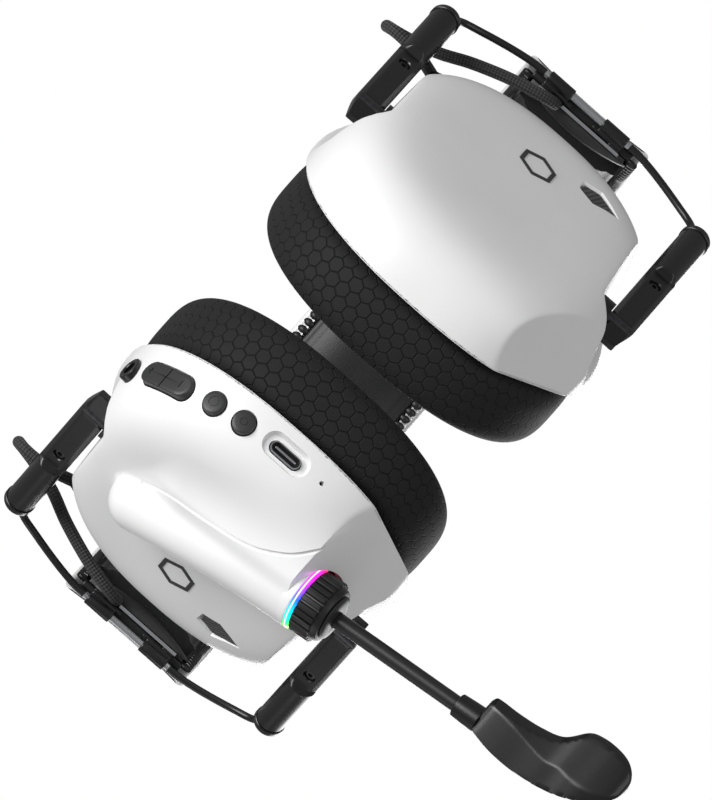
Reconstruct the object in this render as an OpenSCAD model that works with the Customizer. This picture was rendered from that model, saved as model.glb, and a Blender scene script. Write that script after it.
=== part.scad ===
// Over-ear wireless gaming headset with a retractable boom microphone.
// +X is the wearer's left (the microphone cup), -Y is the front and +Z is up.
// The origin is the middle of the headband's underside, where it rests on the crown.

/* [Headband] */
// Inner radius of the head cushion, in mm
crown_r = 75; // [70:0.5:80]
// Width of the headband from front to rear
band_w = 37.2; // [34:0.2:42]
// Thickness of the outer band shell
band_shell_t = 1.8; // [1.4:0.1:2.6]
// Length of the straight leg below the arc at each end
band_leg = 19.5; // [16:0.5:24]

/* [Yokes] */
// Distance of the wire hinge from the middle plane
clip_x = 85.6; // [84.5:0.1:86]
// Drop of the wire hinge below the band's lower edge
clip_drop = 2.5; // [2.3:0.1:4]
// Distance of the cup pivot from the middle plane
pivot_x = 50; // [48:0.5:54]
// Height of the cup pivot, measured from the crown
pivot_z = -144; // [-150:0.5:-140]
// Distance of each arm's centre line from the cup's centre plane
arm_y = 40.9; // [40.5:0.1:43]
// Lean of the arms away from vertical, in degrees
arm_lean = 37; // [34:0.5:40]
// Width of an arm
arm_w = 7.6; // [6:0.2:8]
// Diameter of the pivot pins
pin_d = 4; // [3:0.5:5]

/* [Ear cups] */
// Half of the cup's width at the seam
cup_half_w = 44.1; // [43:0.1:46]
// Half of the cup's height at the seam
cup_half_h = 48.7; // [46:0.1:50]
// Depth of the cup shell at its middle
cup_depth = 29.5; // [27:0.5:32]
// Rise of the outer face for each millimetre of height
face_slope = 0.2; // [0.1:0.02:0.24]
// Lean of the cups at rest, in degrees
cup_tilt = 16; // [14:0.5:17]
// Wall thickness of the cup shells
wall = 2.2; // [1.8:0.1:2.6]
// Thickness of the ear pads
pad_depth = 19.4; // [16:0.2:20]

/* [Microphone] */
// Diameter of the boom tube
boom_d = 4.2; // [3.8:0.1:4.6]
// Length of the boom tube in front of the dial's centre
boom_reach = 49; // [46:1:52]
// Angle that the boom drops below horizontal
boom_drop = 14; // [10:1:16]
// Angle that the boom turns towards the mouth
boom_in = 6.5; // [4:0.5:8]
// Diameter of the knurled dial
dial_d = 17; // [15:0.5:17.5]

/* [Controls] */
// Diameter of the two round buttons
button_d = 6; // [5:0.2:6.4]
// Length of the volume rocker
rocker_l = 17.4; // [15:0.2:18]
// Width of the volume rocker
rocker_w = 6.2; // [5:0.2:6.6]
// Diameter of the audio jack's bore
jack_bore = 3.6; // [3.5:0.05:3.7]

/* [Cables] */
// Diameter of the braided leads
cable_d = 3.1; // [2.8:0.1:3.2]

/* [Hidden] */

// Colours of the finishes
white_shell = "#f1f1f0";
black_plastic = "#1d1d1f";
dark_grey = "#3c3c3e";
steel = "#b9bbbe";
black_fabric = "#151517";

// Headband
band_z = -crown_r;
band_r = crown_r + 10;
leg_z = band_z - band_leg;
cushion_r = band_r - 1.2;
rib_w = 2;
blade_x = 81.6;
blade_t = 0.8;
blade_w = 26;
blade_top = 35;
cover_in = 78.6;
cover_out = 81.4;
cover_crown = 2.4;
lead_x = 81.4;
lead_y = 7;
lead_hole = cable_d + 0.3;

// Wire hinge and clips
clip_z = leg_z - clip_drop;
clip_d = 3.2;
rod_d = 2;
clip_from = 5;
clip_to = 12.7;
lug_x = 83.1;
hook_l = 1.4;
wire_d = 2.3;

// Arms
arm_r = arm_w / 2;
arm_top = 48.5;
arm_step = 26.5;
arm_tip = -7.6;
arm_flat = 1.8;
cap_d = arm_w + 0.5;
cap_t = 1.6;
screw_z = 20.8;
screw_d = 2.4;
pin_in = 3;
pin_l = 13;
wire_off = 1.6;

// Ear cups, in the cup's own frame: x outwards, y to the rear, z up, origin on the pivot axis
seam_x = -17.3;
around = 44;
along = 11;
outline_power = 2.4;
pocket_y = 36.4;
pocket_x = -8;
pocket_z = -11;
pad_gap = 0.3;
pad_half_w = 42.8;
pad_half_h = 47.4;
hollow_half_w = 21;
hollow_half_h = 29;
pad_sides = 12;
driver_r = 25;
bush_d = 8;
rim_wall = 2;

// Places of the controls along the rim, measured to the rear
jack_y = 41.2;
rocker_y = 33.2;
power_y = 20.5;
mode_y = 12;
usb_y = -0.7;
light_y = -11.7;
button_proud = 0.7;

// Boom, from the centre of the dial
boom_at = [49.2, -31.8, -174];
housing_r = 8.6;
housing_back = 50;
hub_d = 7;
hub_flange = 12.5;
dial_t = 7.5;
ring_t = 1.4;
boom_back = 9;
pod_neck_d = 7.6;
pod_socket = 4.5;
// Waist and nose of the pod: sideways and forward position, radius and half height
pod_waist = [42.2, -91, 5.6, 4.8];
pod_nose = [36.6, -106, 9.6, 6];
capsule_d = 7.9;
capsule_at = 3.1;

// Route of the braided lead on the left, from inside the band end to the loop, then to the cup
upper_route = [
    [81.4, 7, -72], [81.4, 7, -80], [81.4, 7, -90], [81.4, 7, -96], [81.1, 9, -99],
    [80.2, 13, -100.6], [78.4, 20, -101.2], [75.2, 29, -100.8], [71.8, 36.5, -100.3],
    [69.6, 44, -100], [68.6, 48.6, -101.2], [68.25, 50.4, -103], [68.2, 50.5, -104.35]
];
lower_route = [
    [68.2, 50.5, -104.65], [68.25, 50.4, -106], [68.5, 48.4, -108.3], [68.5, 45, -109.2], [68, 40, -110],
    [66.9, 35.8, -113.2], [65.9, 32.8, -116.4]
];
// Route of one yoke wire on the left, from the hinge rod into the top of the arm
wire_route = [
    [85.6, 13.8, -97], [85.5, 17, -97], [84.8, 22, -97.1], [83.7, 27.5, -97.6],
    [82.4, 33, -98.7], [81.4, 36.9, -100.6], [80.4, 38.9, -103.4]
];

// ---- Shared functions ----

function sign_power(v, e) = sign(v) * pow(abs(v), e);

// A tube swept along points: a ring of corners around each point, square to the route.
function route_tangent(p, i) = let(
    a = p[max(i - 1, 0)],
    b = p[min(i + 1, len(p) - 1)]
) (b - a) / norm(b - a);

function route_ring(p, i, r, sides) = let(
    t = route_tangent(p, i),
    helper = abs(t[2]) > 0.8 ? [0, 1, 0] : [0, 0, 1],
    u = cross(helper, t) / norm(cross(helper, t)),
    v = cross(t, u)
) [for (k = [0 : sides - 1]) p[i] + r * (cos(360 * k / sides) * u + sin(360 * k / sides) * v)];

// Smooth points through a route by Catmull-Rom steps
function spline_point(p, i, t) = let(
    a = p[max(i - 1, 0)],
    b = p[i],
    c = p[i + 1],
    d = p[min(i + 2, len(p) - 1)]
) 0.5 * (2 * b + (c - a) * t + (2 * a - 5 * b + 4 * c - d) * t * t
    + (3 * b - a - 3 * c + d) * t * t * t);

function smooth_route(p, steps) = concat(
    [for (i = [0 : len(p) - 2]) for (k = [0 : steps - 1]) spline_point(p, i, k / steps)],
    [p[len(p) - 1]]
);

// A closed solid through equal rings of points, with flat ends
module ring_solid(rings) {
    n = len(rings[0]);
    m = len(rings);
    points = [for (r = rings) for (p = r) p];
    sides = [for (i = [0 : m - 2]) for (k = [0 : n - 1]) let(
        a = i * n + k,
        b = i * n + (k + 1) % n
    ) each [[a, b + n, b], [a, a + n, b + n]]];
    first = [[for (k = [0 : n - 1]) k]];
    last = [[for (k = [n - 1 : -1 : 0]) (m - 1) * n + k]];
    polyhedron(points, concat(sides, first, last));
}

module tube(route, r, sides = 8, steps = 2) {
    p = smooth_route(route, steps);
    ring_solid([for (i = [0 : len(p) - 1]) route_ring(p, i, r, sides)]);
}

// ---- Placing ----

module on_side(side) {
    if (side > 0) children();
    else mirror([1, 0, 0]) children();
}

module in_cup(side) {
    on_side(side) translate([pivot_x, 0, pivot_z]) rotate([0, cup_tilt, 0]) children();
}

module in_arm(side, end) {
    on_side(side) mirror([0, end < 0 ? 1 : 0, 0])
        translate([pivot_x, arm_y, pivot_z]) rotate([0, arm_lean, 0]) children();
}

module in_boom() {
    translate(boom_at) rotate([90 + boom_drop, 0, -boom_in]) children();
}

// ---- Headband ----

// Half a ring across the crown with a straight leg at each end, from a section in radius and width
module band_sweep(leg) {
    translate([0, 0, band_z]) rotate([90, 0, 0]) rotate_extrude(angle = 180, $fn = 120)
        mirror([0, 1]) children();
    for (side = [-1, 1])
        on_side(side) translate([0, 0, band_z - leg]) linear_extrude(leg) children();
}

module headband_shell() {
    color(white_shell) band_sweep(band_leg) shell_section();
}

// The shell's section is a thin strip with a bead along each long edge.
module shell_section() {
    translate([band_r, -band_w / 2]) square([band_shell_t, band_w]);
    for (edge = [-1, 1])
        translate([band_r + band_shell_t / 2, edge * (band_w / 2 - 0.6)])
            circle(d = band_shell_t + 0.8, $fn = 24);
}

module spring_band() {
    color(steel) band_sweep(band_leg - 4) translate([band_r - 1, -13]) square([0.8, 26]);
}

// The cushion fills the arc and is crowned across its width.
module cushion_section() {
    edge = band_w / 2 - rib_w - 0.5;
    crown = [for (i = [-4 : 4]) [crown_r + 2.6 * pow(abs(i) / 4, 3), edge * i / 4]];
    polygon(concat(crown, [[cushion_r, edge], [cushion_r, -edge]]));
}

module head_cushion() {
    color(black_fabric) difference() {
        translate([0, 0, band_z]) rotate([90, 0, 0])
            rotate_extrude(angle = 180, $fn = 120) cushion_section();
        for (side = [-1, 1]) on_side(side) {
            translate([cover_out - 0.1, -blade_w / 2 - 0.4, leg_z])
                cube([4, blade_w + 0.8, blade_top]);
            translate([lead_x, lead_y, band_z - 1]) cylinder(d = lead_hole, h = 5, $fn = 48);
        }
    }
}

module rib_strip(end) {
    inner = crown_r + 2.6;
    low = end > 0 ? band_w / 2 - rib_w - 0.2 : -band_w / 2 + 0.2;
    color(black_plastic) band_sweep(band_leg - 1.5)
        translate([inner, low]) square([band_r - 1.4 - inner, rib_w]);
}

// The inner cover of each leg, crowned inwards, with the lead's channel
module band_end(side) {
    edge = band_w / 2 - rib_w - 0.5;
    crown = [for (i = [-4 : 4]) [cover_in + cover_crown * pow(abs(i) / 4, 2), edge * i / 4]];
    color(dark_grey) on_side(side) difference() {
        translate([0, 0, leg_z + 0.4]) linear_extrude(band_leg - 0.6)
            polygon(concat(crown, [[cover_out, edge], [cover_out, -edge]]));
        translate([lead_x - lead_hole / 2, lead_y - lead_hole / 2, leg_z - 1])
            cube([lead_hole, lead_hole, band_leg + 2]);
    }
}

// ---- Sliders ----

module slider_blade(side) {
    color(steel) on_side(side) difference() {
        translate([blade_x, -blade_w / 2, leg_z - 1]) cube([blade_t, blade_w, blade_top]);
        translate([blade_x - 1, lead_y - lead_hole / 2, leg_z - 2]) cube([3, lead_hole, 28]);
    }
}

// Two rolled clips that hold the hinge rod under the blade, each with a small hook at its inner end
module wire_clips(side) {
    color(black_plastic) on_side(side) for (end = [-1, 1]) mirror([0, end < 0 ? 1 : 0, 0])
        difference() {
            union() {
                translate([clip_x, clip_to, clip_z]) rotate([90, 0, 0])
                    cylinder(d = clip_d, h = clip_to - clip_from, $fn = 48);
                translate([blade_x + blade_t, clip_from, clip_z])
                    cube([clip_x - blade_x - blade_t, clip_to - clip_from, 2.3]);
                translate([lug_x, clip_from - hook_l, clip_z + 0.4]) cube([0.7, hook_l + 0.1, 1.6]);
            }
            translate([blade_x, clip_from - 0.1, clip_z - 1]) cube([lug_x - blade_x, 4.4, 4]);
            translate([clip_x, clip_to + 1, clip_z]) rotate([90, 0, 0])
                cylinder(d = rod_d + 0.1, h = clip_to, $fn = 48);
        }
}

// ---- Yokes ----

module hinge_rod(side) {
    color(steel) on_side(side) translate([clip_x, clip_to + 1, clip_z]) rotate([90, 0, 0])
        cylinder(d = rod_d, h = 2 * clip_to + 2, $fn = 48);
}

// A point of the left rear arm's frame, in the headset's frame
function arm_point(p) = [
    pivot_x + p[0] * cos(arm_lean) + p[2] * sin(arm_lean),
    arm_y + p[1],
    pivot_z - p[0] * sin(arm_lean) + p[2] * cos(arm_lean)
];

module wires(side) {
    ending = [for (z = [arm_top + 0.5, arm_top - 4, arm_top - 7.5])
        arm_point([0, -wire_off, z])];
    color(black_plastic) on_side(side) for (end = [-1, 1]) mirror([0, end < 0 ? 1 : 0, 0])
        tube(concat(wire_route, ending), wire_d / 2, 10, 2);
}

// Section of an arm's upper half: round on its outer side
module arm_round_section() {
    circle(r = arm_r, $fn = 48);
    translate([-arm_r, -arm_r]) square([arm_r, arm_w]);
}

// Section of an arm's lower half: a raised flat between two chamfers
module arm_flat_section() {
    polygon([
        [-arm_r, -arm_r], [arm_flat - 1.3, -arm_r], [arm_flat, -arm_r + 1.3],
        [arm_flat, arm_r - 1.3], [arm_flat - 1.3, arm_r], [-arm_r, arm_r]
    ]);
}

module arm(side, end) {
    color(black_plastic) in_arm(side, end) difference() {
        union() {
            translate([0, 0, arm_step]) linear_extrude(arm_top - arm_step) arm_round_section();
            intersection() {
                translate([0, 0, arm_tip]) linear_extrude(arm_step - arm_tip) arm_flat_section();
                rotate([90, 0, 90]) translate([0, 0, -arm_w]) linear_extrude(2 * arm_w) polygon([
                    [-arm_r, 1], [-arm_r + 2.6, arm_tip + 0.8], [-arm_r + 3.4, arm_tip],
                    [arm_r - 1.2, arm_tip], [arm_r, arm_tip + 1.2], [arm_r, arm_step], [-arm_r, arm_step]
                ]);
            }
            translate([0, 0, arm_top - cap_t]) cylinder(d = cap_d, h = cap_t, $fn = 48);
        }
        translate([0, pin_in, 0]) rotate([90, 0, 0]) cylinder(d = pin_d, h = arm_w, $fn = 48);
        translate([-arm_r - 1, 0, screw_z]) rotate([0, 90, 0])
            cylinder(d = screw_d + 0.1, h = arm_w + 2, $fn = 32);
        translate([0, -wire_off, arm_top - 8])
            cylinder(d = wire_d + 0.25, h = 10, $fn = 32);
    }
}

module arm_screws(side) {
    color(steel) for (end = [-1, 1]) in_arm(side, end)
        translate([-arm_r + 0.3, 0, screw_z]) rotate([0, 90, 0]) cylinder(d = screw_d, h = 4.2, $fn = 32);
}

module pivot_pins(side) {
    color(steel) for (end = [-1, 1]) in_arm(side, end)
        translate([0, pin_in, 0]) rotate([90, 0, 0]) cylinder(d = pin_d, h = pin_l, $fn = 48);
}

// ---- Ear cups ----

// Half-width that the arms leave free beside the cup
function pocket_limit(x, z) = pocket_y + 1.2 * max(0, pocket_x - x) + 1.2 * max(0, pocket_z - z);

// A point of the cup's surface, moved inwards by inset. phi goes round the outline, and tau from
// the seam (0) to the middle of the outer face (90). Both curves are superellipses.
function cup_point(phi, tau, inset) = let(
    reach = pow(max(cos(tau), 0), 0.5),
    depth = pow(sin(tau), 0.8),
    wide = (cup_half_w - inset) * sign_power(cos(phi), 2 / outline_power) * reach,
    z = (cup_half_h - inset) * sign_power(sin(phi), 2 / outline_power) * reach,
    x = seam_x + depth * (cup_depth - inset + face_slope * z),
    y = sign(wide) * min(abs(wide), pocket_limit(x, z) - inset)
) [x, y, z];

function cup_ring(tau, inset) = [for (k = [0 : around - 1]) cup_point(360 * k / around, tau, inset)];

// The rings along the surface: one at the rim, one just behind it and the rest spread to the face
function tau_at(i) = i < 2 ? 3 * i : 89.6 * sin(90 * (i - 1) / (along - 1));

// The shell's wall is one solid: up the inside, over the rim at the seam and up the outside.
module cup_wall() {
    ring_solid(concat(
        [for (i = [along : -1 : 0]) cup_ring(tau_at(i), wall)],
        [for (i = [0 : along]) cup_ring(tau_at(i), 0)]
    ));
}

// Height of the outline under a place on the rim, and the tilt of its outward normal
function rim_z(y) = -(cup_half_h - 0.9)
    * pow(1 - pow(abs(y) / cup_half_w, outline_power), 1 / outline_power);
function rim_turn(y) = let(
    p = outline_power - 1,
    ny = sign_power(y, p) / pow(cup_half_w, outline_power),
    nz = pow(abs(rim_z(y)), p) / pow(cup_half_h, outline_power)
) atan2(ny, nz);
function rim_x(y) = -10.4 + 0.06 * y;

// Children are placed on the rim with -Z pointing out of the cup.
module on_rim(y) {
    in_cup(1) translate([rim_x(y), y, rim_z(y)]) rotate([rim_turn(y), 0, 0]) children();
}

module stadium(l, w) {
    square([w, l - w], center = true);
    for (end = [-1, 1]) translate([0, end * (l - w) / 2]) circle(d = w, $fn = 48);
}

// A six-sided opening in the outer face, blunt at the rear and pointed at the front
module diamond_prism(grow, h) {
    hull() for (p = [[-12.5, -1.6], [-12.5, 1.6], [-16, 2.6], [-16, -2.6], [-22, 0]])
        translate([0, p[0], p[1]]) rotate([0, 90, 0]) cylinder(r = 0.4 + grow, h = h, $fn = 16);
}

module diamond_place() {
    translate([1, 0, 22]) children();
}

// Screw posts from the baffle to the wall
module cup_posts() {
    for (phi = [35, 90, 145, 215, 238, 302, 325]) {
        seat = cup_point(phi, 0, 9);
        hull() {
            translate([seam_x + rim_wall + 0.1, seat[1], seat[2]]) rotate([0, 90, 0])
                cylinder(d = 4.6, h = 1, $fn = 16);
            translate([cup_point(phi, 47, 2)[0] - 3, seat[1], seat[2]]) rotate([0, 90, 0])
                cylinder(d = 5.4, h = 1, $fn = 16);
        }
    }
}

module cup_shell(side) {
    difference() {
        union() {
            in_cup(side) cup_wall();
            in_cup(side) cup_posts();
            if (side > 0) boom_housing();
        }
        in_cup(side) diamond_place() diamond_prism(0.15, 30);
        in_cup(side) rotate([90, 0, 0]) translate([0, 0, -60])
            cylinder(d = bush_d + 0.2, h = 120, $fn = 32);
        lead_hole_in_cup(side);
        if (side > 0) control_cuts();
    }
}

module left_shell() {
    color(white_shell) cup_shell(1);
}

module right_shell() {
    color(white_shell) cup_shell(-1);
}

// The fairing that the boom retracts into
module boom_housing() {
    in_boom() hull() {
        translate([0, 0, -ring_t - dial_t / 2 - 2]) cylinder(r = housing_r, h = 1.9, $fn = 32);
        translate([0, 0, -housing_back]) sphere(r = housing_r - 0.4, $fn = 24);
    }
}

module control_cuts() {
    on_rim(jack_y) translate([0, 0, -6]) cylinder(d = 6.5, h = 12, $fn = 32);
    on_rim(rocker_y) translate([0, 0, -6]) linear_extrude(12) stadium(rocker_l + 0.7, rocker_w + 0.6);
    on_rim(power_y) translate([0, 0, -6]) cylinder(d = button_d + 0.5, h = 12, $fn = 32);
    on_rim(mode_y) translate([0, 0, -6]) cylinder(d = button_d + 0.5, h = 12, $fn = 32);
    on_rim(usb_y) translate([0, 0, -6]) linear_extrude(12) stadium(9.5, 3.7);
    on_rim(usb_y) translate([0, 0, -6]) linear_extrude(7) stadium(13.5, 6);
    on_rim(light_y) translate([0, 0, -6]) cylinder(d = 1.2, h = 12, $fn = 16);
    in_boom() translate([0, 0, -dial_t / 2 - ring_t - 0.05]) cylinder(d = dial_d + 1.2, h = 15, $fn = 48);
    in_boom() translate([0, 0, -boom_back - 0.2]) cylinder(d = hub_d + 0.1, h = 12, $fn = 32);
    in_boom() translate([0, 0, -housing_back]) cylinder(d = boom_d + 0.8, h = 50, $fn = 24);
}

// The lead enters the cup through a hole in line with the end of its route.
function lead_end() = lower_route[len(lower_route) - 1];
module along_lead(side) {
    a = lower_route[len(lower_route) - 2];
    d = (lead_end() - a) / norm(lead_end() - a);
    on_side(side) translate(lead_end()) rotate([0, acos(d[2]), atan2(d[1], d[0])]) children();
}

module lead_hole_in_cup(side) {
    along_lead(side) translate([0, 0, -1]) cylinder(d = cable_d + 2.2, h = 9, $fn = 32);
}

module cup_grommet(side) {
    color(black_plastic) along_lead(side) difference() {
        translate([0, 0, 0.15]) cylinder(d = cable_d + 2, h = 5, $fn = 32);
        translate([0, 0, 3]) cylinder(d = 1.6, h = 3, $fn = 32);
    }
}

module cup_outline(inset) {
    polygon([for (k = [0 : around - 1]) let(p = cup_point(360 * k / around, 0, inset)) [-p[2], p[1]]]);
}

// A plate across the cup: its outline in height and width, extruded outwards from x
module cup_plate(x, t, inset) {
    translate([x, 0, 0]) rotate([0, 90, 0]) linear_extrude(t) cup_outline(inset);
}

module baffle(side) {
    color(dark_grey) in_cup(side) difference() {
        cup_plate(seam_x, rim_wall, wall + 0.3);
        translate([seam_x - 1, 0, 0]) rotate([0, 90, 0]) cylinder(r = 19, h = 4, $fn = 96);
    }
}

module driver(side) {
    color(steel) in_cup(side) translate([seam_x + rim_wall, 0, 0]) rotate([0, 90, 0])
        rotate_extrude($fn = 96) polygon([
            [0, 0], [driver_r, 0], [driver_r, 1.6], [21, 2.2], [17, 6], [12.5, 6],
            [12.5, 10.5], [0, 10.5]
        ]);
}

// Ear pad: a rounded ring whose section spans from the hollow to the outer edge
function pad_ring(phi) = [for (k = [0 : pad_sides - 1]) let(
    a = 360 * k / pad_sides + 15,
    u = 0.5 + 0.5 * sign_power(cos(a), 0.55),
    x = seam_x - pad_gap - pad_depth * (0.5 - 0.5 * sign_power(sin(a), 0.55)),
    w = hollow_half_w + u * (pad_half_w - hollow_half_w),
    h = hollow_half_h + u * (pad_half_h - hollow_half_h)
) [x, w * sign_power(cos(phi), 2 / outline_power), h * sign_power(sin(phi), 2 / outline_power)]];

module ear_pad(side) {
    n = pad_sides;
    m = around;
    rings = [for (i = [0 : m - 1]) pad_ring(360 * i / m)];
    points = [for (r = rings) for (p = r) p];
    faces = [for (i = [0 : m - 1]) for (k = [0 : n - 1]) let(
        a = i * n + k,
        b = i * n + (k + 1) % n,
        c = ((i + 1) % m) * n + k,
        d = ((i + 1) % m) * n + (k + 1) % n
    ) each [[a, b, d], [a, d, c]]];
    color(black_fabric) in_cup(side) polyhedron(points, faces);
}

module pad_liner(side) {
    color(black_fabric) in_cup(side) translate([seam_x - 0.55, 0, 0]) rotate([0, 90, 0])
        linear_extrude(0.5) scale([hollow_half_h - 0.6, hollow_half_w - 0.6])
            circle(r = 1, $fn = 64);
}

module pivot_bushes(side) {
    color(dark_grey) in_cup(side) for (end = [-1, 1]) mirror([0, end < 0 ? 1 : 0, 0])
        translate([0, pocket_y + 0.45, 0]) rotate([90, 0, 0]) difference() {
            cylinder(d = bush_d, h = 9, $fn = 48);
            translate([0, 0, -1]) cylinder(d = pin_d + 0.12, h = 11, $fn = 48);
        }
}

module face_grille(side) {
    depth = cup_point(90, 60, 0)[0];
    color(black_plastic) in_cup(side) intersection() {
        diamond_place() diamond_prism(-0.05, 30);
        translate([depth - 6.6, -30, 0]) cube([1.2, 30, 40]);
    }
}

// ---- Inside the cups ----

module circuit_board() {
    color("#1f5b3a") in_cup(1) translate([-2.6, -12, -22]) cube([1.6, 33, 44]);
}

module battery() {
    color("#8d9094") in_cup(-1) translate([-4, -16, -21]) cube([5, 32, 42]);
}

// ---- Ports and controls ----

module usb_port() {
    color(steel) on_rim(usb_y) translate([0, 0, 0]) {
        difference() {
            linear_extrude(7.2) stadium(9.2, 3.4);
            translate([0, 0, -1]) linear_extrude(7.4) stadium(8.5, 2.7);
        }
        translate([-0.35, -3, 1.2]) cube([0.7, 6, 5.4]);
    }
}

module audio_jack() {
    color(black_plastic) on_rim(jack_y) difference() {
        cylinder(d = 6.2, h = 15, $fn = 64);
        translate([0, 0, -1]) cylinder(d = jack_bore, h = 15, $fn = 64);
    }
}

module volume_rocker() {
    color(dark_grey) on_rim(rocker_y) translate([0, 0, -1.9])
        linear_extrude(3.4) stadium(rocker_l, rocker_w);
}

module round_button(y) {
    color(dark_grey) on_rim(y) translate([0, 0, -button_proud - 0.5])
        cylinder(d = button_d, h = 3.4, $fn = 64);
}

module power_button() {
    round_button(power_y);
}

module mode_button() {
    round_button(mode_y);
}

// ---- Microphone ----

module light_ring() {
    color("#b58cff") in_boom() translate([0, 0, -dial_t / 2 - ring_t]) difference() {
        cylinder(d = dial_d + 0.4, h = ring_t - 0.3, $fn = 96);
        translate([0, 0, -1]) cylinder(d = hub_d + 0.04, h = 4, $fn = 64);
    }
}

module dial_hub() {
    color(white_shell) in_boom() difference() {
        union() {
            translate([0, 0, -boom_back]) cylinder(d = hub_d, h = boom_back + dial_t / 2 + 0.2, $fn = 64);
            translate([0, 0, dial_t / 2 + 0.1]) cylinder(d1 = hub_flange, d2 = hub_flange - 3, h = 2.4, $fn = 64);
        }
        translate([0, 0, -boom_back - 1]) cylinder(d = boom_d + 0.1, h = 40, $fn = 64);
    }
}

// The dial's edge has rounded ribs for grip.
module dial() {
    ribs = 26;
    edge = [for (k = [0 : 4 * ribs - 1]) let(
        a = 90 * k / ribs,
        r = dial_d / 2 - [0, 0, 0.7, 0.7][k % 4]
    ) [r * cos(a), r * sin(a)]];
    color(black_plastic) in_boom() translate([0, 0, -dial_t / 2]) difference() {
        linear_extrude(dial_t) polygon(edge);
        translate([0, 0, -1]) cylinder(d = hub_d + 0.1, h = dial_t + 2, $fn = 64);
    }
}

module boom_tube() {
    color(black_plastic) in_boom() translate([0, 0, -boom_back + 1])
        cylinder(d = boom_d, h = boom_back - 1 + boom_reach + pod_socket - 0.5, $fn = 64);
}

module boom_collar() {
    color(black_plastic) in_boom() translate([0, 0, boom_reach - 7.4]) difference() {
        cylinder(d1 = 5.2, d2 = 6.4, h = 7, $fn = 64);
        translate([0, 0, -1]) cylinder(d = boom_d, h = 9, $fn = 64);
    }
}

// A point of the microphone pod, on the slope that the boom follows
function pod_at(x, y) = [x, y, boom_at[2] + (y - boom_at[1]) * tan(boom_drop)];

module pod_lump(lump) {
    translate(pod_at(lump[0], lump[1])) scale([1, 1, lump[3] / lump[2]]) sphere(r = lump[2], $fn = 32);
}

// Children's Z axis points at the mouth from the middle of the nose.
module in_nose() {
    translate(pod_at(pod_nose[0], pod_nose[1])) rotate([0, -90, 0]) children();
}

module mic_pod() {
    color(black_plastic) difference() {
        union() {
            hull() {
                in_boom() translate([0, 0, boom_reach]) cylinder(d = pod_neck_d, h = 0.6, $fn = 32);
                pod_lump(pod_waist);
            }
            hull() {
                pod_lump(pod_waist);
                pod_lump(pod_nose);
            }
        }
        in_boom() translate([0, 0, boom_reach - 1]) cylinder(d = boom_d + 0.1, h = pod_socket + 1, $fn = 64);
        in_nose() translate([0, 0, capsule_at - 0.1]) cylinder(d = capsule_d + 0.1, h = 12, $fn = 48);
    }
}

module mic_capsule() {
    color(dark_grey) in_nose() translate([0, 0, capsule_at]) cylinder(d = capsule_d, h = 4.6, $fn = 48);
}

// ---- Leads ----

module upper_lead(side) {
    color(black_fabric) on_side(side) tube(upper_route, cable_d / 2, 8, 2);
}

module lower_lead(side) {
    color(black_fabric) on_side(side) tube(lower_route, cable_d / 2, 8, 3);
}

// ---- Output ----

headband_shell();
spring_band();
head_cushion();
rib_strip(-1);  // front_rib_strip
rib_strip(1);  // rear_rib_strip
band_end(1);  // left_band_end
band_end(-1);  // right_band_end
slider_blade(1);  // left_slider_blade
slider_blade(-1);  // right_slider_blade
wire_clips(1);  // left_wire_clips
wire_clips(-1);  // right_wire_clips
hinge_rod(1);  // left_hinge_rod
hinge_rod(-1);  // right_hinge_rod
wires(1);  // left_wires
wires(-1);  // right_wires
arm(1, -1);  // left_front_arm
arm(-1, -1);  // right_front_arm
arm(1, 1);  // left_rear_arm
arm(-1, 1);  // right_rear_arm
arm_screws(1);  // left_arm_screws
arm_screws(-1);  // right_arm_screws
pivot_pins(1);  // left_pivot_pins
pivot_pins(-1);  // right_pivot_pins
left_shell();
right_shell();
baffle(1);  // left_baffle
baffle(-1);  // right_baffle
driver(1);  // left_driver
driver(-1);  // right_driver
ear_pad(1);  // left_ear_pad
ear_pad(-1);  // right_ear_pad
pad_liner(1);  // left_pad_liner
pad_liner(-1);  // right_pad_liner
pivot_bushes(1);  // left_pivot_bushes
pivot_bushes(-1);  // right_pivot_bushes
face_grille(1);  // left_face_grille
face_grille(-1);  // right_face_grille
cup_grommet(1);  // left_cup_grommet
cup_grommet(-1);  // right_cup_grommet
upper_lead(1);  // left_upper_lead
upper_lead(-1);  // right_upper_lead
lower_lead(1);  // left_lower_lead
lower_lead(-1);  // right_lower_lead
circuit_board();
battery();
usb_port();
audio_jack();
volume_rocker();
power_button();
mode_button();
light_ring();
dial_hub();
dial();
boom_tube();
boom_collar();
mic_pod();
mic_capsule();
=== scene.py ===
import math

import bpy
import numpy as np
from mathutils import Matrix, Vector


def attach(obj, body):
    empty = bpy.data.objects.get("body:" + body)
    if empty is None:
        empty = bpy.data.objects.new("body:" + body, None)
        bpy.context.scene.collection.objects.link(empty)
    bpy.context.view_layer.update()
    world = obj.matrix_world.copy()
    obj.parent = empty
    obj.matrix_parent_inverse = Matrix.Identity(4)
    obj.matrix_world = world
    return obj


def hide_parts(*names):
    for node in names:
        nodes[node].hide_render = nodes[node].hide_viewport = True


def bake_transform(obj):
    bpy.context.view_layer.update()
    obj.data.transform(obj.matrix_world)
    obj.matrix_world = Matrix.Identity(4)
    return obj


# Over-ear gaming headset with a retractable boom microphone. The shape functions work in
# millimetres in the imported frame: +X is the wearer's left, -Y the front and +Z up.

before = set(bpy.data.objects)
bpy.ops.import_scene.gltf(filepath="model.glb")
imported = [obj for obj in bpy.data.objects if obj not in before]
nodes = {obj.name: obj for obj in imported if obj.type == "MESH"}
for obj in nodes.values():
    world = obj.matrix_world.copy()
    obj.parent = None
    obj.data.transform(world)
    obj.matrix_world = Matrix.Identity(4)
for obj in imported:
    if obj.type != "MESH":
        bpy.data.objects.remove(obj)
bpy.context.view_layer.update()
MM = 0.001

# ---- Sizes, most of them as in the part's source ----

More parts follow.
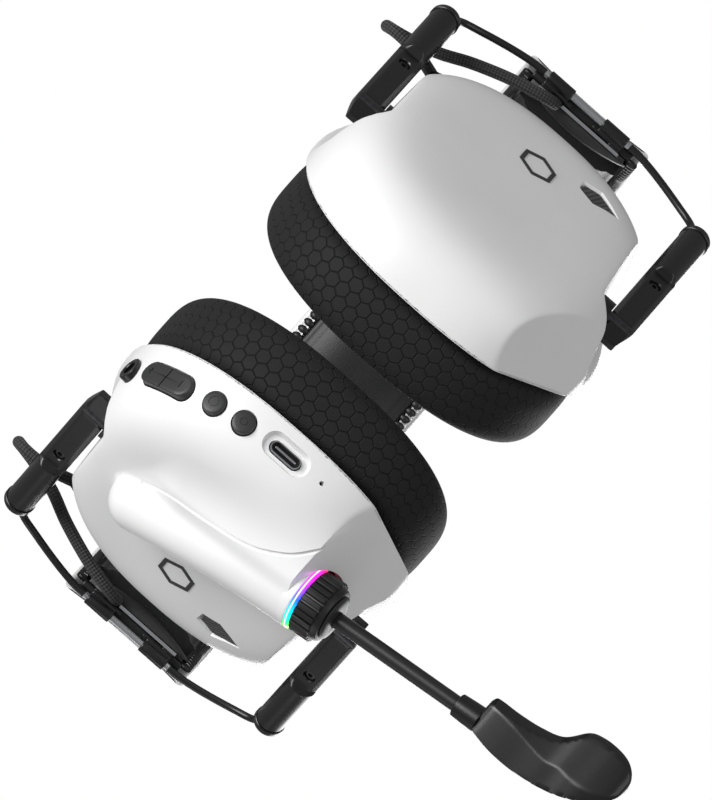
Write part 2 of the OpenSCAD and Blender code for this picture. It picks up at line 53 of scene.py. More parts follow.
BAND_Z = -75.0
BAND_R = 85.0
LEG_Z = -94.5
BAND_HALF = 18.6
RIB_PITCH = 2.32
CLIP_X, CLIP_Z = 85.6, -97.0
PIVOT = np.array([50.0, 0.0, -144.0])
ARM_Y = 40.9
ARM_HALF = 3.8
ARM_STEP, ARM_TOP, ARM_TIP = 26.5, 48.5, -7.6
HALF_W, HALF_H, CUP_DEPTH, SLOPE, WALL = 44.1, 48.7, 28.0, 0.2, 2.2
SEAM_X = -17.3
FACET, FACET_LEAN, FACET_SIDE, FACET_DOWN = 45.5, 0.24, 0.816, -0.578
OUTLINE = 2.4
DIAL_AT = np.array([49.2, -31.8, -174.0])
LEAD_R = 1.55
JACK_Y, ROCKER_Y, POWER_Y, MODE_Y, PORT_Y, LIGHT_Y = 41.2, 33.2, 20.5, 12.0, -0.7, -11.7
SCREW_Z = 20.8
RING_BACK = -5.25
OPENING_UP, MARK_UP = 22, 13.5
CONTROL_R = 3.25
UPPER_ROUTE = [
    [81.4, 7, -72], [81.4, 7, -80], [81.4, 7, -90], [81.4, 7, -96], [81.1, 9, -99],
    [80.2, 13, -100.6], [78.4, 20, -101.2], [75.2, 29, -100.8], [71.8, 36.5, -100.3],
    [69.6, 44, -100], [68.6, 48.6, -101.2], [68.25, 50.4, -103], [68.2, 50.5, -104.35],
]
LOWER_ROUTE = [
    [68.2, 50.5, -104.65], [68.25, 50.4, -106], [68.5, 48.4, -108.3], [68.5, 45, -109.2],
    [68, 40, -110], [66.9, 35.8, -113.2], [65.9, 32.8, -116.4],
]
WIRE_ROUTE = [
    [85.6, 13.8, -97], [85.5, 17, -97], [84.8, 22, -97.1], [83.7, 27.5, -97.6],
    [82.4, 33, -98.7], [81.4, 36.9, -100.6], [80.4, 38.9, -103.4],
]

# ---- Camera, lights and floor ----

VIEW_TURN = math.radians(-131.5)
VIEW_MID = (0.0056, -0.0046)
VIEW_BACK = 6.0
VIEW_TALL = 0.195


def place_camera():
    """The camera hangs far below the headset and looks straight up, turned about the view axis."""
    right = Vector((math.cos(VIEW_TURN), math.sin(VIEW_TURN), 0))
    back = Vector((0, 0, -1))
    up = back.cross(right)
    data = bpy.data.cameras.new("view_camera")
    data.sensor_width = 36
    data.lens = 36 * VIEW_BACK / VIEW_TALL
    data.clip_start, data.clip_end = 0.1, 100
    camera = bpy.data.objects.new("view_camera", data)
    bpy.context.scene.collection.objects.link(camera)
    turned = Matrix((right, up, back)).transposed().to_4x4()
    camera.matrix_world = Matrix.Translation((*VIEW_MID, -0.15 - VIEW_BACK)) @ turned
    bpy.context.scene.camera = camera
    bpy.context.scene.view_settings.view_transform = "Standard"


def soft_box(name, at, size, watts, aim=(0, 0, -0.11)):
    data = bpy.data.lights.new(name, "AREA")
    data.shape = "DISK"
    data.size, data.energy = size, watts
    lamp = bpy.data.objects.new(name, data)
    bpy.context.scene.collection.objects.link(lamp)
    lamp.location = at
    lamp.rotation_euler = (Vector(aim) - Vector(at)).to_track_quat("-Z", "Y").to_euler()


def light_the_room():
    """Dim even light from all sides with a white backdrop, a large soft box low at the rear, a
    weaker one low at the front, one overhead and one level with the left side."""
    world = bpy.data.worlds.new("pale_room")
    bpy.context.scene.world = world
    world.use_nodes = True
    tree = world.node_tree
    tree.nodes.clear()
    out = tree.nodes.new("ShaderNodeOutputWorld")
    mix = tree.nodes.new("ShaderNodeMixShader")
    path = tree.nodes.new("ShaderNodeLightPath")
    ambient = tree.nodes.new("ShaderNodeBackground")
    backdrop = tree.nodes.new("ShaderNodeBackground")
    ambient.inputs["Color"].default_value = (1, 1, 1, 1)
    ambient.inputs["Strength"].default_value = 0.25
    backdrop.inputs["Color"].default_value = (1, 1, 1, 1)
    backdrop.inputs["Strength"].default_value = 1.0
    tree.links.new(path.outputs["Is Camera Ray"], mix.inputs[0])
    tree.links.new(ambient.outputs[0], mix.inputs[1])
    tree.links.new(backdrop.outputs[0], mix.inputs[2])
    tree.links.new(mix.outputs[0], out.inputs[0])
    soft_box("rear_box", (0.10, 0.95, -0.95), 0.9, 18)
    soft_box("front_box", (-0.5, -0.8, -0.9), 1.0, 3.5)
    soft_box("top_box", (0.3, -0.5, 1.3), 1.2, 14)
    soft_box("side_box", (1.4, -0.3, -0.25), 0.8, 2.2)


def lay_floor():
    size, low = 30.0, -8.0
    data = bpy.data.meshes.new("floor")
    corners = [(-size, -size, low), (size, -size, low), (size, size, low), (-size, size, low)]
    data.from_pydata(corners, [], [(0, 1, 2, 3)])
    floor = bpy.data.objects.new("floor", data)
    bpy.context.scene.collection.objects.link(floor)
    mat = bpy.data.materials.new("pale_floor")
    mat.use_nodes = True
    shader = mat.node_tree.nodes["Principled BSDF"]
    shader.inputs["Base Color"].default_value = (0.9, 0.9, 0.9, 1)
    shader.inputs["Roughness"].default_value = 0.8
    data.materials.append(mat)


# ---- Curves and places ----


def power(v, e):
    return np.sign(v) * np.abs(v) ** e


def soft_min(a, b, k):
    """The smaller of two values, rounded where they are within k: min - k h^2 / 4, with
    h = 1 - |a - b| / k and never below 0."""
    h = np.clip(1 - np.abs(a - b) / k, 0, None)
    return np.minimum(a, b) - k * h * h / 4


def ease(v, low, high):
    """0 below low, 1 above high, and 3t^2 - 2t^3 between."""
    t = np.clip((v - low) / (high - low), 0, 1)
    return t * t * (3 - 2 * t)


def turn(axis, degrees):
    return np.array(Matrix.Rotation(math.radians(degrees), 3, axis))


CUP_TURN = turn("Y", 16)
ARM_TURN = turn("Y", 37)
BOOM_TURN = turn("Z", -6.5) @ turn("X", 104)


def in_cup(p, side=1):
    """From the cup's own frame: turned by its lean, moved to the pivot, mirrored on the right."""
    return (p @ CUP_TURN.T + PIVOT) * [side, 1, 1]


def in_arm(p, side, end):
    return (p @ ARM_TURN.T + PIVOT + [0, ARM_Y, 0]) * [side, end, 1]


def at_screw(p, side, end):
    """At an arm's screw, with Z pointing out of the arm."""
    return in_arm(p @ turn("Y", 90).T + [0, 0, SCREW_Z], side, end)


def in_boom(p):
    return p @ BOOM_TURN.T + DIAL_AT


def rim_z(y):
    return -(HALF_H - 0.9) * (1 - (np.abs(y) / HALF_W) ** OUTLINE) ** (1 / OUTLINE)


def rim_lean(y):
    """Angle between the rim at y and level, in degrees."""
    e = OUTLINE - 1
    rise = math.copysign(abs(y) ** e, y) / HALF_W**OUTLINE
    return math.degrees(math.atan2(rise, abs(rim_z(y)) ** e / HALF_H**OUTLINE))


def on_rim(p, y):
    """On the edge beside the seam, with -Z pointing out of the cup."""
    at = [-10.4 + 0.06 * y, y, rim_z(y)]
    return in_cup(p @ turn("X", rim_lean(y)).T + at)


def spline(route, steps):
    """Catmull-Rom curve: each span is the cubic through its ends with slopes from its neighbours."""
    p = np.asarray(route, float)
    p = np.vstack([p[:1], p, p[-1:]])
    a, b, c, d = p[:-3, None], p[1:-2, None], p[2:-1, None], p[3:, None]
    t = (np.arange(steps) / steps)[None, :, None]
    q = 0.5 * (
        2 * b + (c - a) * t + (2 * a - 5 * b + 4 * c - d) * t**2
        + (3 * b - a - 3 * c + d) * t**3
    )
    return np.vstack([q.reshape(-1, 3), p[-1:]])


def unit(v):
    return v / np.linalg.norm(v, axis=-1, keepdims=True)


def along(route):
    """Distance along a route at each of its points."""
    return np.concatenate([[0], np.cumsum(np.linalg.norm(np.diff(route, axis=0), axis=1))])


# ---- Meshes from grids ----


def stack(points, loop=False, u=None, v=None):
    """A closed surface from a stack of closed rings (m, n, 3): four-sided faces between
    neighbouring rings, and a fan on each end unless the stack closes on itself."""
    m, n = points.shape[:2]
    i, j = np.meshgrid(np.arange(m if loop else m - 1), np.arange(n), indexing="ij")
    i, j = i.ravel(), j.ravel()
    k, l = (i + 1) % m, (j + 1) % n
    quads = np.stack([i * n + j, i * n + l, k * n + l, k * n + j], 1)
    u = np.linspace(0, 1, n + 1) if u is None else u
    v = np.linspace(0, 1, m + 1) if v is None else v
    corner = np.stack([np.stack([u[j], v[i]], 1), np.stack([u[j + 1], v[i]], 1),
                       np.stack([u[j + 1], v[i + 1]], 1), np.stack([u[j], v[i + 1]], 1)], 1)
    verts, faces, uvs = points.reshape(-1, 3), [quads], [corner]
    if not loop:
        tips = points[[0, -1]].mean(1)
        verts = np.vstack([verts, tips])
        ring, after = np.arange(n), (np.arange(n) + 1) % n
        last = (m - 1) * n
        first_fan = np.stack([np.full(n, m * n), after, ring], 1)
        last_fan = np.stack([np.full(n, m * n + 1), last + ring, last + after], 1)
        faces.append(np.vstack([first_fan, last_fan]))
        uvs.append(np.tile([[u[0], v[0]]], (2 * n, 3, 1)))
    return verts, faces, uvs


def facing(verts, faces):
    """Faces turned outwards: the volume, a sixth of the sum of each corner fan's triple
    products, is made positive."""
    volume = 0.0
    for f in faces:
        for c in range(1, f.shape[1] - 1):
            a, b, d = verts[f[:, 0]], verts[f[:, c]], verts[f[:, c + 1]]
            volume += np.einsum("ij,ij->", a, np.cross(b, d))
    return volume > 0


def mesh_of(name, parts, sharp=35):
    """One mesh from closed parts, with smooth shading except over sharp degrees."""
    verts, corners, counts, uvs, base = [], [], [], [], 0
    for part_verts, faces, part_uvs in parts:
        outward = facing(part_verts, faces)
        for f, t in zip(faces, part_uvs):
            f, t = (f, t) if outward else (f[:, ::-1], t[:, ::-1])
            corners.append((f + base).ravel())
            counts.append(np.full(len(f), f.shape[1]))
            uvs.append(t.reshape(-1, 2))
        verts.append(part_verts)
        base += len(part_verts)
    corners, counts = np.concatenate(corners), np.concatenate(counts)
    data = bpy.data.meshes.new(name)
    data.vertices.add(base)
    data.vertices.foreach_set("co", (np.vstack(verts) * MM).astype(np.float32).ravel())
    data.loops.add(len(corners))
    data.loops.foreach_set("vertex_index", corners.astype(np.int32))
    data.polygons.add(len(counts))
    starts = np.concatenate([[0], np.cumsum(counts)[:-1]]).astype(np.int32)
    data.polygons.foreach_set("loop_start", starts)
    data.update(calc_edges=True)
    layer = data.uv_layers.new(name="UVMap")
    layer.data.foreach_set("uv", np.vstack(uvs).astype(np.float32).ravel())
    smooth(data, sharp)
    return data


def smooth(data, sharp):
    data.shade_smooth()
    data.set_sharp_from_angle(angle=math.radians(sharp))


def of_side(name, kind):
    """The body of a kind on the side that a piece's name starts with."""
    return f"{name.split('_')[0]}_{kind}"


def piece(name, parts, body, finish, sharp=35, stands_for=()):
    """A finished piece: its mesh, its finish, the body it moves with and the CAD nodes it hides.
    A piece given no body is left unattached."""
    name = name + "_form" if name in nodes else name
    obj = bpy.data.objects.new(name, mesh_of(name, parts, sharp))
    bpy.context.scene.collection.objects.link(obj)
    obj.data.materials.append(finish)
    if body:
        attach(obj, body)
    if stands_for:
        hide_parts(*stands_for)
    return obj


def carve(obj, parts, sharp):
    """Cuts solids out of a piece and keeps the result as its mesh."""
    tool = bpy.data.objects.new("tool", mesh_of("tool", parts))
    bpy.context.scene.collection.objects.link(tool)
    step = obj.modifiers.new("cut", "BOOLEAN")
    step.operation, step.solver, step.object = "DIFFERENCE", "MANIFOLD", tool
    graph = bpy.context.evaluated_depsgraph_get()
    done = bpy.data.meshes.new_from_object(obj.evaluated_get(graph))
    obj.modifiers.clear()
    old = obj.data
    obj.data = done
    bpy.data.meshes.remove(old)
    bpy.data.objects.remove(tool)
    smooth(obj.data, sharp)


# ---- Shapes used by several pieces ----


def tube(route, radius, sides=24, steps=6, helper=(1, 0, 0)):
    """Circles of one radius, or of one per point, square to a spline through the route."""
    p = spline(route, steps)
    t = unit(np.gradient(p, axis=0))
    a = unit(np.cross(np.array(helper, float), t))
    b = np.cross(t, a)
    k = np.linspace(0, 2 * np.pi, sides, endpoint=False)[None, :, None]
    r = np.broadcast_to(radius, len(p))[:, None, None]
    rings = p[:, None] + r * (np.cos(k) * a[:, None] + np.sin(k) * b[:, None])
    length = along(p)
    return stack(rings, u=np.linspace(0, 1, sides + 1), v=np.append(length, length[-1]))


def lathe(profile, sides=64, loop=False):
    """A profile of (radius, height) points turned about Z."""
    k = np.linspace(0, 2 * np.pi, sides, endpoint=False)
    profile = np.asarray(profile, float)
    r, z = profile[:, :1], profile[:, 1:]
    rings = np.stack([r * np.cos(k), r * np.sin(k), z + 0 * k], 2)
    length = along(profile)
    return stack(rings, loop, v=np.append(length, length[-1] + 1))


def pill(length, width, grow=0.0, count=64):
    """A stadium outline: a circle cut in half and pulled apart along Y."""
    k = np.linspace(0, 2 * np.pi, count, endpoint=False) + np.pi / count
    r = width / 2 + grow
    return np.stack([r * np.cos(k), r * np.sin(k) + np.sign(np.sin(k)) * (length - width) / 2], 1)


def slab(outline, low, high, round_low=0.0, round_high=0.0, steps=4):
    """An outline, given as a function of how far it grows, extruded along Z with quarter-round
    edges: at angle a from the flat, the outline shrinks by r (1 - sin a) and lies r (1 - cos a) in."""
    a = np.linspace(0, np.pi / 2, steps + 1)
    levels = []
    if round_low:
        levels += [(-round_low * (1 - np.sin(x)), low + round_low * (1 - np.cos(x))) for x in a]
    else:
        levels.append((0.0, low))
    if round_high:
        levels += [(-round_high * (1 - np.sin(x)), high - round_high * (1 - np.cos(x))) for x in a[::-1]]
    else:
        levels.append((0.0, high))
    rings = [np.column_stack([outline(g), np.full(len(outline(g)), z)]) for g, z in levels]
    return stack(np.array(rings))


def moved(part, place):
    return place(part[0]), part[1], part[2]


def plane_section(k, walls, crisp):
    """Distance from the middle to a rounded polygon in direction k: each wall is (angle, distance),
    and 1 / r is the power mean of cos(k - angle) / distance over the walls that face that way."""
    total = 0.0
    for angle, distance in walls:
        total = total + (np.clip(np.cos(k - math.radians(angle)), 0, None) / distance) ** crisp
    return total ** (-1 / crisp)


# ---- Finishes ----


def add(tree, kind, settings=None, **inputs):
    node = tree.nodes.new("ShaderNode" + kind)
    for name, value in (settings or {}).items():
        setattr(node, name, value)
    for name, value in inputs.items():
        numbered = name[0] == "_" and name[1:].isdigit()
        socket = node.inputs[int(name[1:]) if numbered else name.replace("_", " ")]
        if isinstance(value, bpy.types.NodeSocket):
            tree.links.new(value, socket)
        else:
            socket.default_value = value
    return node


def calc(tree, operation, a, b=0.0, c=0.0):
    return add(tree, "Math", {"operation": operation}, _0=a, _1=b, _2=c).outputs[0]


def vector(tree, operation, a, b=(0, 0, 0), c=(0, 0, 0)):
    node = add(tree, "VectorMath", {"operation": operation}, _0=a, _1=b)
    if operation == "WRAP":
        node.inputs[2].default_value = c
    return node.outputs["Value" if operation in ("DOT_PRODUCT", "LENGTH") else "Vector"]


def new_finish(name, roughness, metallic=0.0, specular=0.5, coat=0.0, sheen=0.0):
    mat = bpy.data.materials.new(name)
    mat.use_nodes = True
    shader = mat.node_tree.nodes["Principled BSDF"]
    shader.inputs["Roughness"].default_value = roughness
    shader.inputs["Metallic"].default_value = metallic
    shader.inputs["Specular IOR Level"].default_value = specular
    shader.inputs["Coat Weight"].default_value = coat
    shader.inputs["Coat Roughness"].default_value = 0.25
    shader.inputs["Sheen Weight"].default_value = sheen
    return mat, mat.node_tree, shader


def shade_between(tree, shader, fac, dark, light):
    mix = add(tree, "Mix", {"data_type": "RGBA"}, _0=fac)
    mix.inputs[6].default_value = (*dark, 1)
    mix.inputs[7].default_value = (*light, 1)
    tree.links.new(mix.outputs[2], shader.inputs["Base Color"])
    return mix


def raise_by(tree, shader, height, distance, strength=1.0):
    bump = add(tree, "Bump", None, Height=height, Strength=strength, Distance=distance)
    tree.links.new(bump.outputs[0], shader.inputs["Normal"])


def moulded(name, dark, light, roughness, grain, depth, **extra):
    """Moulded plastic: slow cloudy variation of the colour, a fine spark-eroded grain in the
    surface and a roughness that wanders with handling."""
    mat, tree, shader = new_finish(name, roughness, **extra)
    where = add(tree, "TexCoord").outputs["Object"]
    clouds = add(tree, "TexNoise", None, Vector=where, Scale=45.0, Detail=3.0).outputs[0]
    fine = add(tree, "TexNoise", None, Vector=where, Scale=grain, Detail=2.0).outputs[0]
    shade_between(tree, shader, clouds, dark, light)
    spread = 0.04
    wander = calc(tree, "MULTIPLY_ADD", clouds, spread * 2, roughness - spread)
    tree.links.new(wander, shader.inputs["Roughness"])
    raise_by(tree, shader, fine, depth)
    return mat


def brushed(name, dark, light, roughness, stretch):
    """Drawn or brushed steel: noise pulled out along one direction shades and scratches it."""
    mat, tree, shader = new_finish(name, roughness, metallic=1.0)
    where = add(tree, "TexCoord").outputs["Object"]
    drawn = add(tree, "Mapping", None, Vector=where, Scale=stretch).outputs[0]
    streaks = add(tree, "TexNoise", None, Vector=drawn, Scale=900.0, Detail=3.0).outputs[0]
    shade_between(tree, shader, streaks, dark, light)
    tree.links.new(calc(tree, "MULTIPLY_ADD", streaks, 0.12, roughness - 0.06), shader.inputs["Roughness"])
    raise_by(tree, shader, streaks, 0.00001)
    return mat


def cloth_threads(tree, u, v, across):
    """A plain weave: sines along and across, each thread over and under its neighbours."""
    a = calc(tree, "SINE", calc(tree, "MULTIPLY", u, across * math.pi))
    b = calc(tree, "SINE", calc(tree, "MULTIPLY", v, across * math.pi))
    return calc(tree, "MULTIPLY_ADD", calc(tree, "MULTIPLY", a, b), 0.5, 0.5)


def cell_fabric():
    """Pad cover: six-sided cells pressed into a fine weave, with painted shade darkening the pressed
    grooves along the cell walls. The distance to the nearest cell wall comes from two shifted lattices,
    whichever centre is nearer."""
    mat, tree, shader = new_finish("cell_fabric", 0.72, specular=0.22, sheen=0.03)
    where = add(tree, "UVMap", {"uv_map": "UVMap"}).outputs[0]
    wobble = add(tree, "TexNoise", None, Vector=where, Scale=0.55, Detail=1.0).outputs["Color"]
    wobble = vector(tree, "MULTIPLY", vector(tree, "SUBTRACT", wobble, (0.5, 0.5, 0.5)), (0.16, 0.16, 0))
    spot = vector(tree, "ADD", where, wobble)
    half = (0.5, 0.5 * math.sqrt(3), 1)
    near = vector(tree, "WRAP", spot, half, (-0.5, -0.5 * math.sqrt(3), -1))
    shifted = vector(tree, "ADD", spot, (0.5, 0.5 * math.sqrt(3), 0))
    other = vector(tree, "WRAP", shifted, half, (-0.5, -0.5 * math.sqrt(3), -1))
    near_size, other_size = (vector(tree, "DOT_PRODUCT", v, v) for v in (near, other))
    pick = calc(tree, "LESS_THAN", near_size, other_size)
    chosen = add(tree, "Mix", {"data_type": "VECTOR"}, _0=pick)
    tree.links.new(other, chosen.inputs[4])
    tree.links.new(near, chosen.inputs[5])
    folded = vector(tree, "ABSOLUTE", chosen.outputs[1])
    slanted = vector(tree, "DOT_PRODUCT", folded, (0.5, 0.5 * math.sqrt(3), 0))
    straight = vector(tree, "DOT_PRODUCT", folded, (1, 0, 0))
    wall = calc(tree, "SUBTRACT", 0.5, calc(tree, "MAXIMUM", slanted, straight))
    ramp = add(tree, "MapRange", {"interpolation_type": "SMOOTHSTEP"}, Value=wall)
    ramp.inputs["From Min"].default_value = 0.0
    ramp.inputs["From Max"].default_value = 0.08
    cell = ramp.outputs[0]
    split = add(tree, "SeparateXYZ", None, _0=where)
    weave = cloth_threads(tree, split.outputs[0], split.outputs[1], 11.0)
    # Painted shade: the colour falls to its darkest in the pressed grooves at the cell walls.
    tone = calc(tree, "MULTIPLY", cell, calc(tree, "MULTIPLY_ADD", weave, 0.45, 0.55))
    shade_between(tree, shader, tone, (0.003, 0.003, 0.0035), (0.015, 0.015, 0.016))
    height = calc(tree, "MULTIPLY_ADD", weave, 0.12, cell)
    raise_by(tree, shader, height, 0.00022)
    return mat


def braid_fabric():
    """Braided sleeve: two families of strands that wind in opposite directions, from the UVs,
    where u goes once round and v is in millimetres."""
    mat, tree, shader = new_finish("braid_fabric", 0.6, specular=0.4, sheen=0.1)
    split = add(tree, "SeparateXYZ", None, _0=add(tree, "UVMap", {"uv_map": "UVMap"}).outputs[0])
    round_ = calc(tree, "MULTIPLY", split.outputs[0], 6.0)
    run = calc(tree, "MULTIPLY", split.outputs[1], 0.62)
    one = calc(tree, "SINE", calc(tree, "MULTIPLY", calc(tree, "ADD", round_, run), 2 * math.pi))
    two = calc(tree, "SINE", calc(tree, "MULTIPLY", calc(tree, "SUBTRACT", round_, run), 2 * math.pi))
    cross = calc(tree, "MULTIPLY", one, two)
    over = calc(tree, "MULTIPLY_ADD", cross, 0.5, 0.5)
    shade_between(tree, shader, over, (0.004, 0.004, 0.005), (0.05, 0.05, 0.052))
    raise_by(tree, shader, over, 0.00025)
    return mat


def leather_fabric():
    """Leatherette: pebbles from a cell pattern with fine pores over slow shading."""
    mat, tree, shader = new_finish("leather_fabric", 0.45, specular=0.45)
    where = add(tree, "TexCoord").outputs["Object"]
    pebble = add(tree, "TexVoronoi", {"feature": "F1"}, Vector=where, Scale=2600.0).outputs[0]
    clouds = add(tree, "TexNoise", None, Vector=where, Scale=60.0, Detail=4.0).outputs[0]
    tone = calc(tree, "MULTIPLY_ADD", pebble, -0.5, clouds)
    shade_between(tree, shader, tone, (0.006, 0.006, 0.0065), (0.016, 0.016, 0.017))
    raise_by(tree, shader, calc(tree, "MULTIPLY", pebble, -1.0), 0.00002)
    return mat


def woven_wire(name, dark, light, pitch, metallic, roughness):
    """Fine woven mesh over dark gaps, on object coordinates turned to lie on the surface."""
    mat, tree, shader = new_finish(name, roughness, metallic=metallic)
    where = add(tree, "TexCoord").outputs["Object"]
    lie = (0, math.radians(-16), math.radians(45))
    turned = add(tree, "Mapping", None, Vector=where, Rotation=lie).outputs[0]
    split = add(tree, "SeparateXYZ", None, _0=turned)
    weave = cloth_threads(tree, split.outputs[1], split.outputs[2], 2.0 / pitch)
    shade_between(tree, shader, weave, dark, light)
    raise_by(tree, shader, weave, pitch * 0.25)
    return mat


def rainbow_diffuser():
    """Light guide: the hue follows the angle round the ring, held in u, and the middle of the
    lit face, held in v, is almost white."""
    mat, tree, shader = new_finish("rainbow_diffuser", 0.3)
    where = add(tree, "UVMap", {"uv_map": "UVMap"}).outputs[0]
    split = add(tree, "SeparateXYZ", None, _0=where)
    ramp = add(tree, "ValToRGB", None, Fac=split.outputs[0])
    hues = [
        (0.0, (0.45, 1, 0.03)), (0.12, (0.9, 0.8, 0.0)), (0.26, (1, 0.3, 0.0)), (0.40, (1, 0.03, 0.05)),
        (0.54, (1, 0.02, 0.3)), (0.63, (0.95, 0.02, 0.75)), (0.70, (0.4, 0.03, 1)),
        (0.78, (0.02, 0.12, 1)), (0.86, (0.0, 0.65, 0.8)), (0.94, (0.03, 0.95, 0.2)),
        (1.0, (0.45, 1, 0.03)),
    ]
    points = ramp.color_ramp.elements
    points[0].position, points[0].color = 0.0, (*hues[0][1], 1)
    points[1].position, points[1].color = 1.0, (*hues[-1][1], 1)
    for at, colour in hues[1:-1]:
        points.new(at).color = (*colour, 1)
    middle = add(tree, "MapRange", {"interpolation_type": "SMOOTHSTEP"}, Value=calc(
        tree, "ABSOLUTE", calc(tree, "SUBTRACT", split.outputs[1], 0.5)))
    middle.inputs["From Min"].default_value = 0.16
    middle.inputs["From Max"].default_value = 0.03
    glow = add(tree, "Mix", {"data_type": "RGBA"}, _0=calc(tree, "MULTIPLY", middle.outputs[0], 0.85))
    tree.links.new(ramp.outputs[0], glow.inputs[6])
    glow.inputs[7].default_value = (1, 1, 1, 1)
    tree.links.new(glow.outputs[2], shader.inputs["Emission Color"])
    tree.links.new(ramp.outputs[0], shader.inputs["Base Color"])
    shader.inputs["Emission Strength"].default_value = 1.6
    return mat


def circuit_finish():
    """Solder mask with a brick-like pattern of lighter copper runs under it."""
    mat, tree, shader = new_finish("circuit_finish", 0.35, coat=0.4)
    where = add(tree, "TexCoord").outputs["Object"]
    brick = add(tree, "TexBrick", None, Vector=where, Scale=180.0)
    brick.inputs["Color1"].default_value = (0.02, 0.11, 0.05, 1)
    brick.inputs["Color2"].default_value = (0.02, 0.09, 0.04, 1)
    brick.inputs["Mortar"].default_value = (0.08, 0.2, 0.09, 1)
    tree.links.new(brick.outputs[0], shader.inputs["Base Color"])
    raise_by(tree, shader, brick.outputs[1], 0.00003)
    return mat


white = moulded("satin_white", (0.80, 0.80, 0.80), (0.87, 0.87, 0.87), 0.42, 5200, 0.000008, coat=0.15)
black = moulded("satin_black", (0.006, 0.006, 0.0065), (0.011, 0.011, 0.0115), 0.3, 4200, 0.000003)
tube_black = moulded("boom_black", (0.010, 0.010, 0.011), (0.018, 0.018, 0.019), 0.36, 3000, 0.000004)
rubber = moulded("grip_rubber", (0.006, 0.006, 0.006), (0.011, 0.011, 0.011), 0.42, 2600, 0.000006)
grey = moulded("key_grey", (0.022, 0.022, 0.023), (0.032, 0.032, 0.033), 0.45, 3000, 0.000015)
cover_grey = moulded("cover_grey", (0.016, 0.016, 0.017), (0.026, 0.026, 0.027), 0.42, 2400, 0.000006)
fin_white = moulded("fin_white", (0.74, 0.74, 0.74), (0.82, 0.82, 0.82), 0.45, 2000, 0.000005)
steel = brushed("brushed_steel", (0.5, 0.51, 0.53), (0.72, 0.73, 0.75), 0.28, (1, 0.05, 1))
dark_steel = brushed("screw_steel", (0.05, 0.05, 0.055), (0.12, 0.12, 0.125), 0.4, (1, 1, 0.1))
hexes = cell_fabric()
braid = braid_fabric()
leather = leather_fabric()
liner_mesh = woven_wire("liner_mesh", (0.002, 0.002, 0.002), (0.03, 0.03, 0.03), 0.0011, 0.0, 0.7)
steel_mesh = woven_wire("face_mesh", (0.004, 0.004, 0.004), (0.16, 0.16, 0.165), 0.0009, 0.6, 0.4)
rainbow = rainbow_diffuser()
circuit = circuit_finish()

# ---- Headband ----


def band_stations(leg, arc_steps, leg_steps):
    """Stations of a sweep up one leg, over the half circle and down the other. Each has an
    origin and an outward direction in XZ, and a section point is origin + radius x direction."""
    drop = np.linspace(leg, 0, leg_steps, endpoint=False)
    a = np.linspace(-np.pi / 2, np.pi / 2, arc_steps + 1)
    origin = np.vstack([np.column_stack([0 * drop, BAND_Z - drop]),
                        np.column_stack([0 * a, 0 * a + BAND_Z]),
                        np.column_stack([0 * drop, BAND_Z - drop[::-1]])])
    out = np.vstack([np.tile([-1.0, 0.0], (leg_steps, 1)), np.column_stack([np.sin(a), np.cos(a)]),
                     np.tile([1.0, 0.0], (leg_steps, 1))])
    return origin, out


def band_sweep(section, leg, arc_steps=160, leg_steps=6):
    """A section of (radius, y) points, the same at every station or one per station (m, n, 2)."""
    origin, out = band_stations(leg, arc_steps, leg_steps)
    s = np.broadcast_to(section, (len(origin), *np.shape(section)[-2:]))
    x = origin[:, None, 0] + s[..., 0] * out[:, None, 0]
    z = origin[:, None, 1] + s[..., 0] * out[:, None, 1]
    return stack(np.stack([x, s[..., 1], z], 2))


def band_shell():
    """A thin strip with a round bead along each edge."""
    k = np.linspace(-0.5 * np.pi, 0.5 * np.pi, 13)
    bead_r, bead_y, mid = 1.3, BAND_HALF - 0.7, BAND_R + 0.9
    front = np.column_stack([mid + bead_r * np.sin(k), bead_y + bead_r * np.cos(k)])
    inner = np.column_stack([np.full(9, BAND_R), np.linspace(-bead_y + 1.1, bead_y - 1.1, 9)])
    outer = np.column_stack([np.full(9, BAND_R + 1.8), np.linspace(bead_y - 1.1, -bead_y + 1.1, 9)])
    back = np.column_stack([mid - bead_r * np.sin(k), -bead_y - bead_r * np.cos(k)])
    section = np.vstack([inner, front, outer, back])
    return piece("band_shell", [band_sweep(section, 19.5)], "headband", white,
                 sharp=50, stands_for=["headband_shell"])


def band_cushion():
    """Crowned inside, full at the edges: the inner face lies at 75 + 2.6 |t|^3 for t across the
    width, and rounded edges turn to the flat back. A sewn line sinks in along each edge."""
    t = np.linspace(-1, 1, 33)
    edge = 16.0
    inner = np.column_stack([75 + 2.6 * np.abs(t) ** 3, (edge - 1.6) * t])
    k = np.linspace(0, np.pi, 11)[1:-1]
    top = np.column_stack([79.4 - 1.8 * np.cos(k), edge - 1.6 + 1.6 * np.sin(k)])
    back = np.column_stack([np.full(15, 81.2), np.linspace(edge - 1.6, 1.6 - edge, 15)])
    low = np.column_stack([79.4 + 1.8 * np.cos(k), 1.6 - edge - 1.6 * np.sin(k)])
    section = np.vstack([inner, top, back, low])
    seam = np.exp(-(((np.abs(section[:, 1]) - 13.4) / 0.5) ** 2)) * (section[:, 0] < 78)
    section[:, 0] += 0.35 * seam
    obj = piece("band_cushion", [band_sweep(section, 0.0, 240, 0)], "headband", leather,
                stands_for=["head_cushion"])
    return obj


